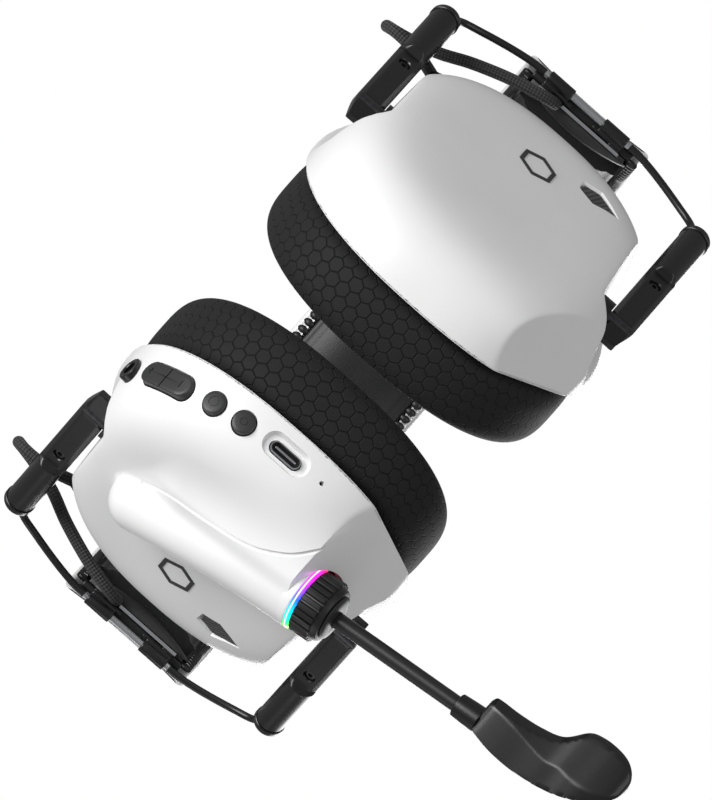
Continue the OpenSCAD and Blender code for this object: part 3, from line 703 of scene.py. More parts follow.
def rib_strip(end, name):
    """A row of pillows: each swells by |sin|^0.7 over its pitch, so that it dips between
    neighbours, and thin pale fins stand in the dips. The inner edge of the row draws outwards
    down each leg, towards the end of the shell."""
    arc, leg = 110, 8
    per = 8
    origin, out = band_stations(leg * RIB_PITCH, arc * per, leg * per)
    step = np.arange(len(origin))
    lobe = (np.abs(np.sin(np.pi * step / per)) ** 0.7)[:, None]
    down = (BAND_Z - origin[:, 1]) / (leg * RIB_PITCH)
    inner = (77.6 + 4.6 * down**1.2)[:, None]
    mid, half = (inner + 83.6) / 2, (83.6 - inner) / 2
    k = np.linspace(0, 2 * np.pi, 20, endpoint=False)
    rad = mid + (half - 0.5 + 0.5 * lobe) * power(np.cos(k), 0.6)
    y = 16.8 + (0.5 + 1.2 * lobe) * power(np.sin(k), 0.6)
    x = origin[:, None, 0] + rad * out[:, None, 0]
    z = origin[:, None, 1] + rad * out[:, None, 1]
    pillows = stack(np.stack([x, end * y, z], 2))
    piece(name, [pillows], "headband", rubber, sharp=60,
          stands_for=[name.replace("pillows", "strip")])
    at = np.arange(per, len(origin) - per, per)
    k = np.linspace(0, np.pi, 7)
    rad = mid[at, :, None] - half[at, :, None] * 0.93 * np.append(np.cos(k), -np.cos(k[:1]))
    y = np.append(16.3 + 1.95 * np.sin(k), 16.3)
    across = np.array([-0.24, 0.24])[:, None]
    go = np.stack([out[at, 1], -out[at, 0]], 1)[:, None, None]
    x = origin[at, None, None, 0] + rad * out[at, None, None, 0] + across * go[..., 0]
    z = origin[at, None, None, 1] + rad * out[at, None, None, 1] + across * go[..., 1]
    fins = [stack(np.stack([a, np.broadcast_to(end * y, a.shape), b], 2)) for a, b in zip(x, z)]
    return piece(name.replace("pillows", "fins"), fins, "headband", fin_white)


def leg_filler(side, name):
    """A dark block between the slider blade and the shell, which closes the end of the leg."""
    block = slab(lambda g: power_box(2.4 + 2 * g, 32 + 2 * g), LEG_Z + 0.5, BAND_Z, 0.4, 0.0)
    return piece(name, [moved(block, lambda p: (p + [83.75, 0, 0]) * [side, 1, 1])], "headband", black)


def band_cover(side, name):
    """A panel crowned across its width, 78.6 + 2.4 t^2 from the middle plane, with a rolled
    lower edge: near the end it steps in along a quarter circle."""
    t = np.linspace(-1, 1, 41)
    z = np.concatenate([LEG_Z + 0.4 + 2.0 * (1 - np.cos(np.linspace(0, np.pi / 2, 7))), [-84, -75.3]])
    roll = np.concatenate([2.0 * (1 - np.sin(np.linspace(0, np.pi / 2, 7))), [0, 0]])
    inner = np.minimum(78.6 + 2.4 * t[None] ** 2 + roll[:, None], 81.35)
    y = 16.0 * t
    front = np.stack([inner, np.broadcast_to(y, inner.shape), np.broadcast_to(z[:, None], inner.shape)], 2)
    back = np.stack([np.full_like(inner, 81.4), np.broadcast_to(y[::-1], inner.shape),
                     np.broadcast_to(z[:, None], inner.shape)], 2)
    rings = np.concatenate([front, back], 1) * [side, 1, 1]
    return piece(name, [stack(rings)], "headband", cover_grey,
                 stands_for=[name.replace("cover", "end")])


# ---- Sliders and yokes ----


def wire_clip(side, name):
    """Two rolled clips on a lug, each a round sleeve with eased ends and a small inner hook."""
    parts = []
    for end in (-1, 1):
        def place(p, end=end):
            return (p @ turn("X", 90).T * [1, -1, 1] + [CLIP_X, 5.0, CLIP_Z]) * [side, end, 1]
        k = np.linspace(0, np.pi / 2, 5)
        edge = [(1.25 + 0.35 * np.sin(x), 0.35 * (1 - np.cos(x))) for x in k]
        sleeve = edge + [(r, 7.7 - z) for r, z in edge[::-1]] + [(1.06, 7.7), (1.06, 0.0)]
        parts.append(moved(lathe(sleeve, 40, loop=True), place))

        def block(low, high, ease_by, end=end):
            mid = (np.array(low) + high) / 2
            size = np.array(high) - low
            outline = lambda g: power_box(size[0] + 2 * g, size[1] + 2 * g)
            slab_part = slab(outline, -size[2] / 2, size[2] / 2, ease_by, ease_by)
            return moved(slab_part, lambda p: (p + mid) * [side, end, 1])
        parts.append(block([83.15, 5.1, -96.9], [85.3, 12.6, -94.9], 0.25))
        parts.append(block([82.4, 9.4, -95.6], [83.4, 12.6, -94.8], 0.15))
        parts.append(block([83.1, 3.6, -96.6], [83.8, 5.3, -95.0], 0.2))
    return piece(name, parts, of_side(name, "slider"), black, stands_for=[name])


def power_box(w, h, count=32):
    """A nearly square outline: a superellipse of power 8."""
    k = np.linspace(0, 2 * np.pi, count, endpoint=False) + np.pi / count
    return np.column_stack([w / 2 * power(np.cos(k), 0.25), h / 2 * power(np.sin(k), 0.25)])


def yoke_wires(side, name):
    ending = in_arm(np.array([[0, -1.6, 49.0], [0, -1.6, 44.5], [0, -1.6, 41.0]]), 1, 1)
    route = np.vstack([WIRE_ROUTE, ending])
    parts = [tube(route * [side, end, 1], 0.95, 28, 6) for end in (-1, 1)]
    return piece(name, parts, of_side(name, "yoke"), black, stands_for=[name])


def arm(side, end, name):
    """A section of flat walls, told by plane_section, carried along the arm. The upper half is
    round outside; below the shoulder it is a flat land between two chamfers, and near the tip
    the land and the sides fall away in facets. A wider sleeve closes the top."""
    z = np.concatenate([
        np.linspace(ARM_TIP, ARM_TIP + 0.5, 4), np.linspace(-6.6, 3.0, 24),
        np.linspace(3.4, ARM_STEP - 1.4, 14), np.linspace(ARM_STEP - 1.3, ARM_STEP + 0.6, 22),
        np.linspace(ARM_STEP + 1, ARM_TOP - 2.2, 12),
    ])
    k = np.linspace(0, 2 * np.pi, 96, endpoint=False)
    up = ease(z, ARM_STEP - 1.2, ARM_STEP + 0.4)
    tip = np.clip((1.5 - z) / 9.0, 0, 1)
    shrink = 0.35 * np.clip((ARM_TIP + 0.5 - z) / 0.5, 0, 1) ** 2
    rings = []
    for level, lift, point, less in zip(z, up, tip, shrink):
        side_wall = ARM_HALF - 1.5 * point ** 1.3
        walls = [(180, ARM_HALF - 2.4 * point), (90, side_wall), (270, side_wall),
                 (135, 4.9 - 2.2 * point), (225, 4.9 - 2.2 * point),
                 (0, 1.8 + 2.0 * lift - 1.3 * point)]
        walls += [(a, 3.04 + 0.76 * lift - 0.5 * point) for a in (-45, 45)]
        if lift > 0:
            walls += [(a, ARM_HALF + 4 * (1 - lift)) for a in (-68, -22, 22, 68)]
        r = plane_section(k, walls, 26) - less
        rings.append(np.column_stack([r * np.cos(k), r * np.sin(k), np.full(len(k), level)]))
    parts = [stack(np.array(rings))]
    sleeve = [(2.9, 2.3), (3.6, 2.3), (3.62, 1.75), (3.9, 1.7), (4.05, 1.55), (4.05, 0.35), (3.95, 0.1),
              (3.7, 0), (3.15, 0), (3.05, 0.3)]
    parts.append(lathe([(r, ARM_TOP - down) for r, down in sleeve], 64))
    parts = [moved(p, lambda q: in_arm(q, side, end)) for p in parts]
    obj = piece(name, parts, of_side(name, "yoke"), black, sharp=24, stands_for=[name])
    hole = lathe([(1.6, 0.7), (1.6, 1.45), (1.9, 2.0), (1.9, 5.0)], 40)
    carve(obj, [moved(hole, lambda q: at_screw(q, side, end))], 24)
    return obj


def arm_screws(side, name):
    """A low domed head with a hexagonal socket, and its shank, in each arm."""
    k = np.linspace(0, 2 * np.pi, 36, endpoint=False)
    hexagon = plane_section(k, [(a, 0.62) for a in range(0, 360, 60)], 30)
    levels = [(1.25, -0.6, 0), (1.3, 0.75, 0), (1.45, 0.8, 0), (1.45, 0.98, 0), (1.25, 1.15, 0),
              (0, 1.17, 1.0), (0, 0.6, 0.97)]
    rings = [np.column_stack([(r + h * hexagon) * np.cos(k), (r + h * hexagon) * np.sin(k), 0 * k + z])
             for r, z, h in levels]
    screw = stack(np.array(rings))
    parts = [moved(screw, lambda q, e=end: at_screw(q, side, e)) for end in (-1, 1)]
    return piece(name, parts, of_side(name, "yoke"), dark_steel, stands_for=[name])


# ---- Ear cups ----


def soft_ramp(v, k=2.0):
    """0 below -k, v above k, and the quarter-square joining them between."""
    t = np.clip((v + k) / (2 * k), 0, 1)
    return np.where(v > k, v, k * t * t)


def cup_surface(q, phi, inset):
    """Superellipse outline of power 2.4 that shrinks by r = 1 - q^2.5, at depth (1 - r^8)^0.4 of
    the cup, whose outer face leans with height. Flat pockets beside the arms limit the width,
    and a facet cuts the lower front corner beyond the plane that the FACET values give."""
    r = 1 - q**2.5
    depth = (1 - r**8) ** 0.4
    wide = (HALF_W - inset) * power(np.cos(phi), 2 / OUTLINE) * r
    z = (HALF_H - inset) * power(np.sin(phi), 2 / OUTLINE) * r
    x = SEAM_X + depth * (CUP_DEPTH - inset + SLOPE * z)
    lean = np.where(wide < 0, 0.27, 0.06)
    free = 36.4 + 1.2 * soft_ramp(-8 - x) + 1.2 * soft_ramp(-11 - z) - lean * soft_ramp(x + 8) - inset
    facet = (FACET - FACET_LEAN * (x - SEAM_X) - FACET_DOWN * z) / FACET_SIDE - inset
    facet = np.where(wide < 0, facet, HALF_W + 5)
    y = soft_min(np.abs(wide), free, 1.2)
    y = soft_min(y, np.maximum(facet, 0), 0.7) * np.sign(wide)
    return np.stack([x, y, z], -1)


def grid_normals(p):
    """Cross product of the differences along and around the grid, pointing away from its middle."""
    down = np.gradient(p, axis=0)
    round_ = np.roll(p, -1, 1) - np.roll(p, 1, 1)
    n = np.cross(round_, down)
    n /= np.linalg.norm(n, axis=2, keepdims=True) + 1e-12
    middle = p.mean((0, 1))
    return n * np.sign(((p - middle) * n).sum(2).mean())


BOOM_DIR = BOOM_TURN @ np.array([0.0, 0.0, 1.0])
FAIRING_LONG = 56.0
FAIRING_BEND = np.array([4.0, 0.0, 10.5])


def fairing_distance(p):
    """Signed distance from the boom's fairing: a capsule from in front of the dial to its nose,
    whose line bends towards the face with the square of the way."""
    v = p - DIAL_AT - BOOM_DIR * 4.0

    def off_line(s):
        share = s[..., None] / FAIRING_LONG
        return v - share**2 * FAIRING_BEND + s[..., None] * BOOM_DIR, share
    s = np.clip(-(v @ BOOM_DIR), 0, FAIRING_LONG)
    for _ in range(3):
        off, share = off_line(s)
        go = 2 * share / FAIRING_LONG * FAIRING_BEND - BOOM_DIR
        s = np.clip(s + (off * go).sum(-1) / (go**2).sum(-1), 0, FAIRING_LONG)
    off, share = off_line(s)
    return np.linalg.norm(off, axis=-1) - 8.75 + 0.85 * share[..., 0], s


def raise_fairing(p, n):
    """Moves each point along its normal to the soft union of the cup and the fairing. The
    distance to the cup along a normal is the way t, so the outermost t where
    soft_min(t, fairing) = 0 is found on a scale of steps. The union is wide on the inner side,
    narrow outside and tight round the nose."""
    outward = np.array([1.0, 0.0, 0.35])
    outward = unit(outward - BOOM_DIR * (BOOM_DIR @ outward))
    t = np.linspace(0, 14, 71)
    result = np.zeros(p.shape[:2])
    previous = None
    for step in t:
        q = p + step * n
        gap, s = fairing_distance(q)
        lateral = (q - DIAL_AT) @ outward
        k = 5.0 + 12.0 * ease(-lateral, -3, 5)
        k = k * (1 - 0.7 * ease(s, FAIRING_LONG - 14, FAIRING_LONG))
        value = soft_min(np.full_like(gap, step), gap, k)
        if previous is not None:
            crossing = (previous <= 0) & (value > 0)
            share = previous / (previous - value - 1e-12)
            result = np.where(crossing, step - t[1] + share * t[1], result)
        previous = value
    return p + result[..., None] * n


CREASE = [
    [54.6, 21.5], [53.6, 18.0], [52.7, 13], [52.0, 7], [51.2, 1.6], [50.3, -3.7], [49.2, -8],
    [47.6, -11.8], [44, -17.3], [39, -21.5], [34.2, -25.0],
]


def surface_under(points, normals, places):
    """Point and normal of the lower face below each (x, y) place: the tangent planes of the
    grid points near it, weighted by exp(-d^2 / 1.3)."""
    use = normals[..., 2] < -0.12
    p, n = points[use], normals[use]
    d = places[:, None, :2] - p[None, :, :2]
    w = np.exp(-(d**2).sum(2) / 1.3) + 1e-30
    z = p[None, :, 2] - (n[None, :, 0] * d[..., 0] + n[None, :, 1] * d[..., 1]) / n[None, :, 2]
    w /= w.sum(1, keepdims=True)
    return np.column_stack([places[:, :2], (w * z).sum(1)]), unit(w @ n)


def crease_tool(points, normals):
    """The groove along the fairing's inner edge: a wedge carried along the crease, steep on the
    cup's side and less so on the fairing's side. It starts shallow at the nose."""
    route = spline(np.column_stack([CREASE, np.zeros(len(CREASE))]), 8)
    at, n = surface_under(points, normals, route)
    t = unit(np.gradient(at, axis=0))
    b = unit(np.cross(t, n))
    out = np.array([1.0, -0.3, 0.0])
    b *= np.sign(b @ out)[:, None]
    share = along(at) / along(at)[-1]
    deep = 1.2 * ease(share, 0.0, 0.2) + 0.02
    profile = np.array([[-0.25, 1.2], [-0.12, -0.1], [0, -0.75], [0.45, -0.6], [1.05, 0.1], [1.25, 1.2]])
    side = profile[:, 0]
    height = np.where(profile[:, 1] < 0, profile[:, 1] * deep[:, None], profile[:, 1])
    rings = at[:, None] + side[None, :, None] * b[:, None] + height[..., None] * n[:, None]
    return stack(rings)


def diamond(grow, low, high):
    """The six-sided opening in the outer face, flared outwards: blunt at the rear, pointed in front."""
    corners = np.array([[-12.1, -1.6], [-12.1, 1.6], [-16, 3.0], [-22.5, 0.0], [-16, -3.0]])
    middle = corners.mean(0)
    rings = []
    for g, x in ((grow[0], low), (grow[1], high)):
        reach = np.linalg.norm(corners - middle, axis=1, keepdims=True)
        c = middle + (corners - middle) * (1 + g / reach)
        rings.append(np.column_stack([np.full(5, x), c[:, 0], OPENING_UP + c[:, 1]]))
    return stack(np.array(rings))


def cup_cutters(side):
    """Openings of a shell: the face opening with flared walls, the pivot holes and the lead's hole."""
    face = cup_surface(np.array([[0.9]]), np.array([[np.pi / 2]]), 0)[0, 0, 0]
    cut = [diamond((0.0, 0.0), 2.0, face + 0.2), diamond((0.0, 3.2), face - 0.6, face + 6.0)]
    cut += [lathe([(4.1, -60.0), (4.1, 60.0)], 48)]
    cut[2] = moved(cut[2], lambda q: q @ turn("X", 90).T)
    cut = [moved(c, lambda q: in_cup(q, side)) for c in cut]
    end, before = np.array(LOWER_ROUTE[-1]), np.array(LOWER_ROUTE[-2])
    way = unit(end - before)
    hole = tube([end - way, end + way * 4, end + way * 8], 2.7, 40, 2)
    cut.append(moved(hole, lambda q: q * [side, 1, 1]))
    return cut


def facet_cutter():
    """The half-space beyond the facet, as a deep square block, so that the fairing ends on it."""
    normal = np.array([FACET_LEAN, -FACET_SIDE, FACET_DOWN])
    size = np.linalg.norm(normal)
    far = (FACET + FACET_LEAN * SEAM_X) / size + 0.12
    normal = normal / size
    across = unit(np.cross([0.0, 0.0, 1.0], normal))
    frame_of = np.column_stack([across, np.cross(normal, across), normal])
    block = slab(lambda g: np.array([[-50.0, -40], [50, -40], [50, 40], [-50, 40]]), far, far + 40)
    return moved(block, lambda q: in_cup(q @ frame_of.T))


def control_cutters():
    """Holes for the jack, rocker, buttons, charging port, status light and the dial."""
    round_hole = lathe([(CONTROL_R, -8.0), (CONTROL_R, 6.0)], 64)
    cut = [moved(round_hole, lambda q, y=y: on_rim(q, y)) for y in (JACK_Y, POWER_Y, MODE_Y)]
    cut.insert(1, moved(slab(lambda g: pill(18.1, 6.8, g), -8, 6), lambda q: on_rim(q, ROCKER_Y)))
    cut.append(moved(slab(lambda g: pill(9.5, 3.7, g), -4, 6), lambda q: on_rim(q, PORT_Y)))
    cut.append(moved(lathe([(0.6, -6.0), (0.6, 6.0)], 24), lambda q: on_rim(q, LIGHT_Y)))
    scoop = np.array([np.column_stack([pill(12.6, 5.4, g), np.full(64, z)])
                      for g, z in ((0.0, 1.1), (0.35, 0.6), (1.0, -1.6))])
    cut.append(moved(stack(scoop), lambda q: on_rim(q, PORT_Y)))
    cut.append(moved(lathe([(9.2, RING_BACK), (9.2, 16.0)], 96), in_boom))
    cut.append(moved(lathe([(3.55, -9.2), (3.55, 4.0)], 48), in_boom))
    cut.append(moved(lathe([(2.35, -35.0), (2.35, -8.0)], 32), in_boom))
    return cut


def cup_shell(side, name):
    around, rows = 336, 104
    phi = np.linspace(0, 2 * np.pi, around, endpoint=False)[None]
    q = (np.linspace(0, 1, rows) ** 0.92 * 0.99)[:, None]
    outer = in_cup(cup_surface(q, phi, 0.0), side)
    normals = grid_normals(outer)
    if side > 0:
        outer = raise_fairing(outer, normals)
        normals = grid_normals(outer)
    coarse = np.linspace(0.02, 1, 40)[::-1, None] ** 0.92 * 0.99
    inner = in_cup(cup_surface(coarse, phi, WALL), side)
    lip = in_cup(cup_surface(np.array([[0.012]]), phi, 0.35) - [0.25, 0, 0], side)
    seat = in_cup(cup_surface(np.array([[0.0]]), phi, WALL), side)
    outer[0] = in_cup(cup_surface(np.array([[0.02]]), phi, 0.0), side)[0]
    rings = np.concatenate([inner, seat, lip, outer])
    obj = piece(name, [stack(rings)], of_side(name, "cup"), white, stands_for=[name])
    tools = cup_cutters(side)
    if side > 0:
        tools += [facet_cutter()] + control_cutters()
        tools.append(crease_tool(outer, normals))
    for tool in tools:
        carve(obj, [tool], 32)
    return obj


def face_mesh(side, name):
    """The woven mesh across the face opening, set in behind the flare and sloped as the face is."""
    def place(q):
        return in_cup(q + (q[:, 2:] - OPENING_UP) * [SLOPE, 0, 0], side)
    return piece(name, [moved(diamond((0.4, 0.4), 14.0, 14.5), place)], of_side(name, "cup"),
                 steel_mesh, stands_for=[name.replace("mesh", "grille")])


def baffle_plate(side, name):
    """The plate that closes the cup behind the pad, inside the shell's outline."""
    phi = np.linspace(0, 2 * np.pi, 120, endpoint=False)[None]
    edge = cup_surface(np.array([[0.0]]), phi, WALL + 0.3)
    levels = ((0.5, 0.1), (1, 0.1), (1, 1.6), (0.5, 1.6))
    rings = np.concatenate([edge * [1, f, f] + [x, 0, 0] for f, x in levels])
    return piece(name, [moved(stack(rings), lambda q: in_cup(q, side))], of_side(name, "cup"), cover_grey,
                 stands_for=[name.replace("_plate", "")])


def face_mark(side, name):
    """A plain six-sided outline set on the outer face, which rises by the slope for each
    millimetre of height."""
    k = np.radians(np.arange(0, 360, 60))
    rings = [np.column_stack([r * np.cos(k), r * np.sin(k), np.full(6, z)])
             for r, z in ((5.6, -1.0), (5.6, 0.2), (4.3, 0.2), (4.3, -1.0))]
    tip = 90 + math.degrees(math.atan(SLOPE))
    at = [SEAM_X + CUP_DEPTH + SLOPE * MARK_UP, 0, MARK_UP]
    part = moved(stack(np.array(rings), loop=True), lambda q: in_cup(q @ turn("Y", tip).T + at, side))
    return piece(name, [part], of_side(name, "cup"), grey)


# ---- Ear pads ----


def pad_surface(a, phi):
    """A rounded ring: in section a superellipse of exponent 0.55 between the hollow and the outer wall."""
    u = 0.5 + 0.5 * power(np.cos(a), 0.55)
    x = SEAM_X - 0.3 - 19.4 * (0.5 - 0.5 * power(np.sin(a), 0.55))
    wide = 21 + u * 21.8
    high = 29 + u * 18.4
    y, z = wide * power(np.cos(phi), 2 / OUTLINE), high * power(np.sin(phi), 2 / OUTLINE)
    return np.stack(np.broadcast_arrays(x, y, z), -1)


def ear_pad(side, name):
    around, section = 288, 72
    phi = np.linspace(0, 2 * np.pi, around, endpoint=False)[:, None]
    a = (np.linspace(0, 2 * np.pi, section, endpoint=False) + 0.5 * np.pi)[None]
    p = pad_surface(a, phi)
    line = pad_surface(np.zeros((1, 1)), np.vstack([phi, phi[:1] + 2 * np.pi]))[:, 0]
    length = along(line)
    cells = round(length[-1] / 3.7)
    profile = pad_surface(np.append(a[0], a[0, 0] + 2 * np.pi)[None], np.zeros((1, 1)))[0]
    v = along(profile) / length[-1] * cells
    grid = stack(p, loop=True, u=v, v=length / length[-1] * cells)
    swapped = [uv[..., ::-1] for uv in grid[2]]
    part = (in_cup(grid[0], side), grid[1], swapped)
    obj = piece(name, [part], of_side(name, "cup"), hexes, stands_for=[name])
    return obj


def pad_liner(side, name):
    """A thin sheet over the driver, domed by 1.6 (1 - r^2) towards the ear."""
    r = np.concatenate([np.linspace(0.02, 1, 24), np.linspace(1, 0.02, 24)])[:, None]
    k = np.linspace(0, 2 * np.pi, 96, endpoint=False)[None]
    x = SEAM_X - 0.55 - np.where(np.arange(48) < 24, 1.6 * (1 - r[:, 0] ** 2) + 0.45, 0.0)[:, None]
    p = np.stack([x + 0 * k, 20.6 * r * np.cos(k), 28.6 * r * np.sin(k)], 2)
    return piece(name, [moved(stack(p), lambda q: in_cup(q, side))], of_side(name, "cup"),
                 liner_mesh, stands_for=[name])


# ---- Leads ----


def lead(side, route, name, bend_from, bend_to):
    """A braided sleeve along its route, with its transform baked in and no body of its own. The two places
    it is given are not used.
    """
    part = moved(tube(route, LEAD_R, 24, 8), lambda q: q * [side, 1, 1])
    obj = piece(name, [part], None, braid, stands_for=[name])
    start, end = (np.array(p) * [side, 1, 1] * MM for p in (bend_from, bend_to))
    tuple(start)
    tuple(end)
    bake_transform(obj)


def lead_boot(side, name):
    """A moulded boot round the lead where it enters the cup: stepped rings that narrow outwards."""
    end, before = np.array(LOWER_ROUTE[-1]), np.array(LOWER_ROUTE[-2])
    way = unit(end - before)
    z = np.array([-1.2, -1.1, 0.1, 0.2, 1.2, 1.4, 5.0])
    r = np.array([1.75, 1.9, 2.1, 2.45, 2.55, 2.5, 2.5])
    t = np.broadcast_to(way, (len(z), 3))
    a = unit(np.cross([1.0, 0, 0], way))
    b = np.cross(way, a)
    k = np.linspace(0, 2 * np.pi, 40, endpoint=False)[None, :, None]
    rings = (end + z[:, None] * t)[:, None] + r[:, None, None] * (np.cos(k) * a + np.sin(k) * b)
    return piece(name, [moved(stack(rings), lambda q: q * [side, 1, 1])], of_side(name, "cup"),
                 black, stands_for=[name])


# ---- Controls ----


def rim_sag(y, t):
    """How far the rim falls away from its tangent at y, at distances t along that tangent."""
    near = np.linspace(y - 12, min(y + 12, HALF_W - 0.5), 80)
    spots = np.column_stack([0 * near, near, rim_z(near)])
    local = (spots - [0, y, rim_z(y)]) @ turn("X", rim_lean(y))
    return np.interp(t, local[:, 1], local[:, 2])


def rocker():
    """Two half keys with a groove between them: a pill whose face follows the rim's curve."""
    def bend(p):
        return on_rim(p + rim_sag(ROCKER_Y, p[:, 1])[:, None] * [0, 0, 1], ROCKER_Y)

    def mark(w, h, y, deep):
        box = slab(lambda g: np.array([[-w, -h], [w, -h], [w, h], [-w, h]]) + [0, y], -3, deep)
        return moved(box, bend)
    levels = ((-3.0, -1.0), (-2.0, -1.0), (-1.0, -1.0), (-0.45, -0.98), (-0.15, -0.85), (0.0, -0.6),
              (0.0, 1.5))
    rings = [np.column_stack([pill(17.4, 6.2, g, 160), np.full(160, z)]) for g, z in levels]
    obj = piece("volume_key", [moved(stack(np.array(rings)), bend)], "rocker", grey,
                stands_for=["volume_rocker"])
    for tool in (mark(4, 0.2, 0, -0.25), mark(0.95, 0.15, 5.6, -0.75), mark(0.15, 0.95, 5.6, -0.75),
                 mark(0.95, 0.15, -5.6, -0.75)):
        carve(obj, [tool], 30)
    return obj


def round_key(y, name, body, radius):
    """A low domed button, 0.25 (1 - r^2) proud of its edge, with a shallow ring in its face."""
    ring = radius + np.array([0.16, 0.12, -0.12, -0.16])
    r = np.concatenate([[2.95, 2.95, 2.85, 2.6, 2.2], ring, [0.7, 0.2]])
    dip = np.array([0, 0, 0, 0, 0, 0, 0.14, 0.14, 0, 0, 0])
    z = np.array([2.0, -0.55, -0.8, -0.95, -1.02, 0, 0, 0, 0, 0, 0])
    z[5:] = -1.02 - 0.08 * (1 - (r[5:] / 2.2) ** 2)
    part = lathe(np.column_stack([r, z + dip]), 64)
    return piece(name + "_key", [moved(part, lambda q: on_rim(q, y))], body, grey,
                 stands_for=[name + "_button"])


def jack_ring():
    """The audio socket: a flush ring with an eased bore that ends in a flat floor."""
    profile = [(0.2, 12.8), (1.8, 12.8), (1.8, -0.6), (2.05, -0.82), (3.0, -0.82), (3.22, -0.65),
               (3.22, 2.5), (2.9, 2.8), (2.9, 13.6), (0.2, 13.6)]
    return piece("jack_ring", [moved(lathe(profile, 64), lambda q: on_rim(q, JACK_Y))], "left_cup", black,
                 stands_for=["audio_jack"])


def charging_port():
    """A thin metal pill with a flat tongue inside it, at the bottom of the scoop."""
    rings = [np.column_stack([pill(8.9, 3.2, g), np.full(64, z)])
             for g, z in ((0.0, 0.2), (0.0, 5.0), (-0.28, 5.0), (-0.28, 0.2))]
    rim = stack(np.array(rings), loop=True)
    tongue = slab(lambda g: power_box(0.6 + 2 * g, 6.4 + 2 * g), 0.5, 3.0, 0.1, 0.0)
    floor = slab(lambda g: pill(8.3, 2.6, g), 2.2, 4.8)
    rim, tongue, floor = ([moved(part, lambda q: on_rim(q, PORT_Y))] for part in (rim, tongue, floor))
    piece("charging_rim", rim, "left_cup", steel, stands_for=["usb_port"])
    piece("charging_tongue", tongue, "left_cup", steel)
    piece("charging_floor", floor, "left_cup", black)


# ---- Microphone ----


def grip_dial():
    """Knurled dial: the radius falls from 8.5 to 7.7 in 26 narrow grooves. The ribs stop short of
    the front, where a plain cone leads to the hub."""
    count = 26
    k = np.linspace(0, 2 * np.pi, count * 12, endpoint=False)
    groove = ease(np.abs(((k * count / (2 * np.pi)) % 1) - 0.5), 0.30, 0.42)
    z = np.array([-3.75, -3.6, -3.45, 1.6, 1.85, 2.0, 2.05, 3.0, 3.6, 3.75])
    rib = np.array([0.55, 0.85, 1, 1, 0.9, 0.45, 0, 0, 0, 0])
    base = np.array([7.6, 7.65, 7.7, 7.7, 7.7, 7.7, 7.6, 7.35, 7.0, 6.6])
    r = base[:, None] + rib[:, None] * 0.8 * (1 - groove[None])
    rings = np.stack([r * np.cos(k), r * np.sin(k), np.broadcast_to(z[:, None], r.shape)], 2)
    bore = np.stack([3.55 * np.cos(k) + 0 * z[:2, None], 3.55 * np.sin(k) + 0 * z[:2, None],
                     np.array([[3.75], [-3.75]]) + 0 * k[None]], 2)
    part = stack(np.concatenate([rings, bore]), loop=True)
    return piece("grip_dial", [moved(part, in_boom)], "dial", rubber, sharp=28,
                 stands_for=["dial"])


def light_guide():
    """A ring with a half-round lit edge. u goes round from the outer side and v across the edge."""
    k = np.linspace(0, 2 * np.pi, 128, endpoint=False)
    a = np.linspace(-np.pi / 2, np.pi / 2, 13)
    r = np.concatenate([[3.6], 8.15 + 0.55 * np.cos(a), [3.6]])
    z = np.concatenate([[-5.15], -4.6 + 0.55 * np.sin(a), [-4.05]])
    rings = np.stack([r[:, None] * np.cos(k), r[:, None] * np.sin(k), z[:, None] + 0 * k], 2)
    v = np.concatenate([[0.0], np.linspace(0.0, 1.0, 13), [1.0, 1.0]])
    part = stack(rings, loop=True, u=np.linspace(0, 1, 129), v=v)
    return piece("light_guide", [moved(part, in_boom)], "left_cup", rainbow,
                 stands_for=["light_ring"])


def boom_hub():
    """The low nose in front of the dial, and the sleeve behind it that the dial turns on."""
    profile = [(2.15, -9.0), (3.48, -9.0), (3.48, 3.84), (6.0, 3.86), (6.15, 4.0), (6.1, 4.2), (5.8, 4.45),
               (5.0, 4.7), (2.5, 4.9), (2.3, 4.85), (2.15, 4.7)]
    return piece("boom_hub", [moved(lathe(profile, 72, loop=True), in_boom)], "left_cup", cover_grey,
                 stands_for=["dial_hub"])


def ring_collar():
    """The round end of the fairing behind the lit ring."""
    profile = [(2.6, -11.0), (7.4, -11.0), (8.7, -6.4), (8.7, RING_BACK - 0.2),
               (8.55, RING_BACK), (2.6, RING_BACK)]
    return piece("ring_collar", [moved(lathe(profile, 96, loop=True), in_boom)], "left_cup", white)


def boom_sleeve():
    """The tube, and the sleeve at its far end with a step at each side."""
    tube_part = lathe([(1.9, -6.2), (2.1, -6.0), (2.1, 52.8), (1.9, 53.0)], 48)
    sleeve = [(2.12, 41.6), (2.9, 41.6), (3.12, 41.8), (3.3, 45), (3.4, 48.4), (3.2, 48.6), (2.12, 48.6)]
    piece("boom_stalk", [moved(tube_part, in_boom)], "boom", tube_black,
          stands_for=["boom_tube"])
    piece("boom_sleeve", [moved(lathe(sleeve, 48, loop=True), in_boom)], "boom", black,
          stands_for=["boom_collar"])


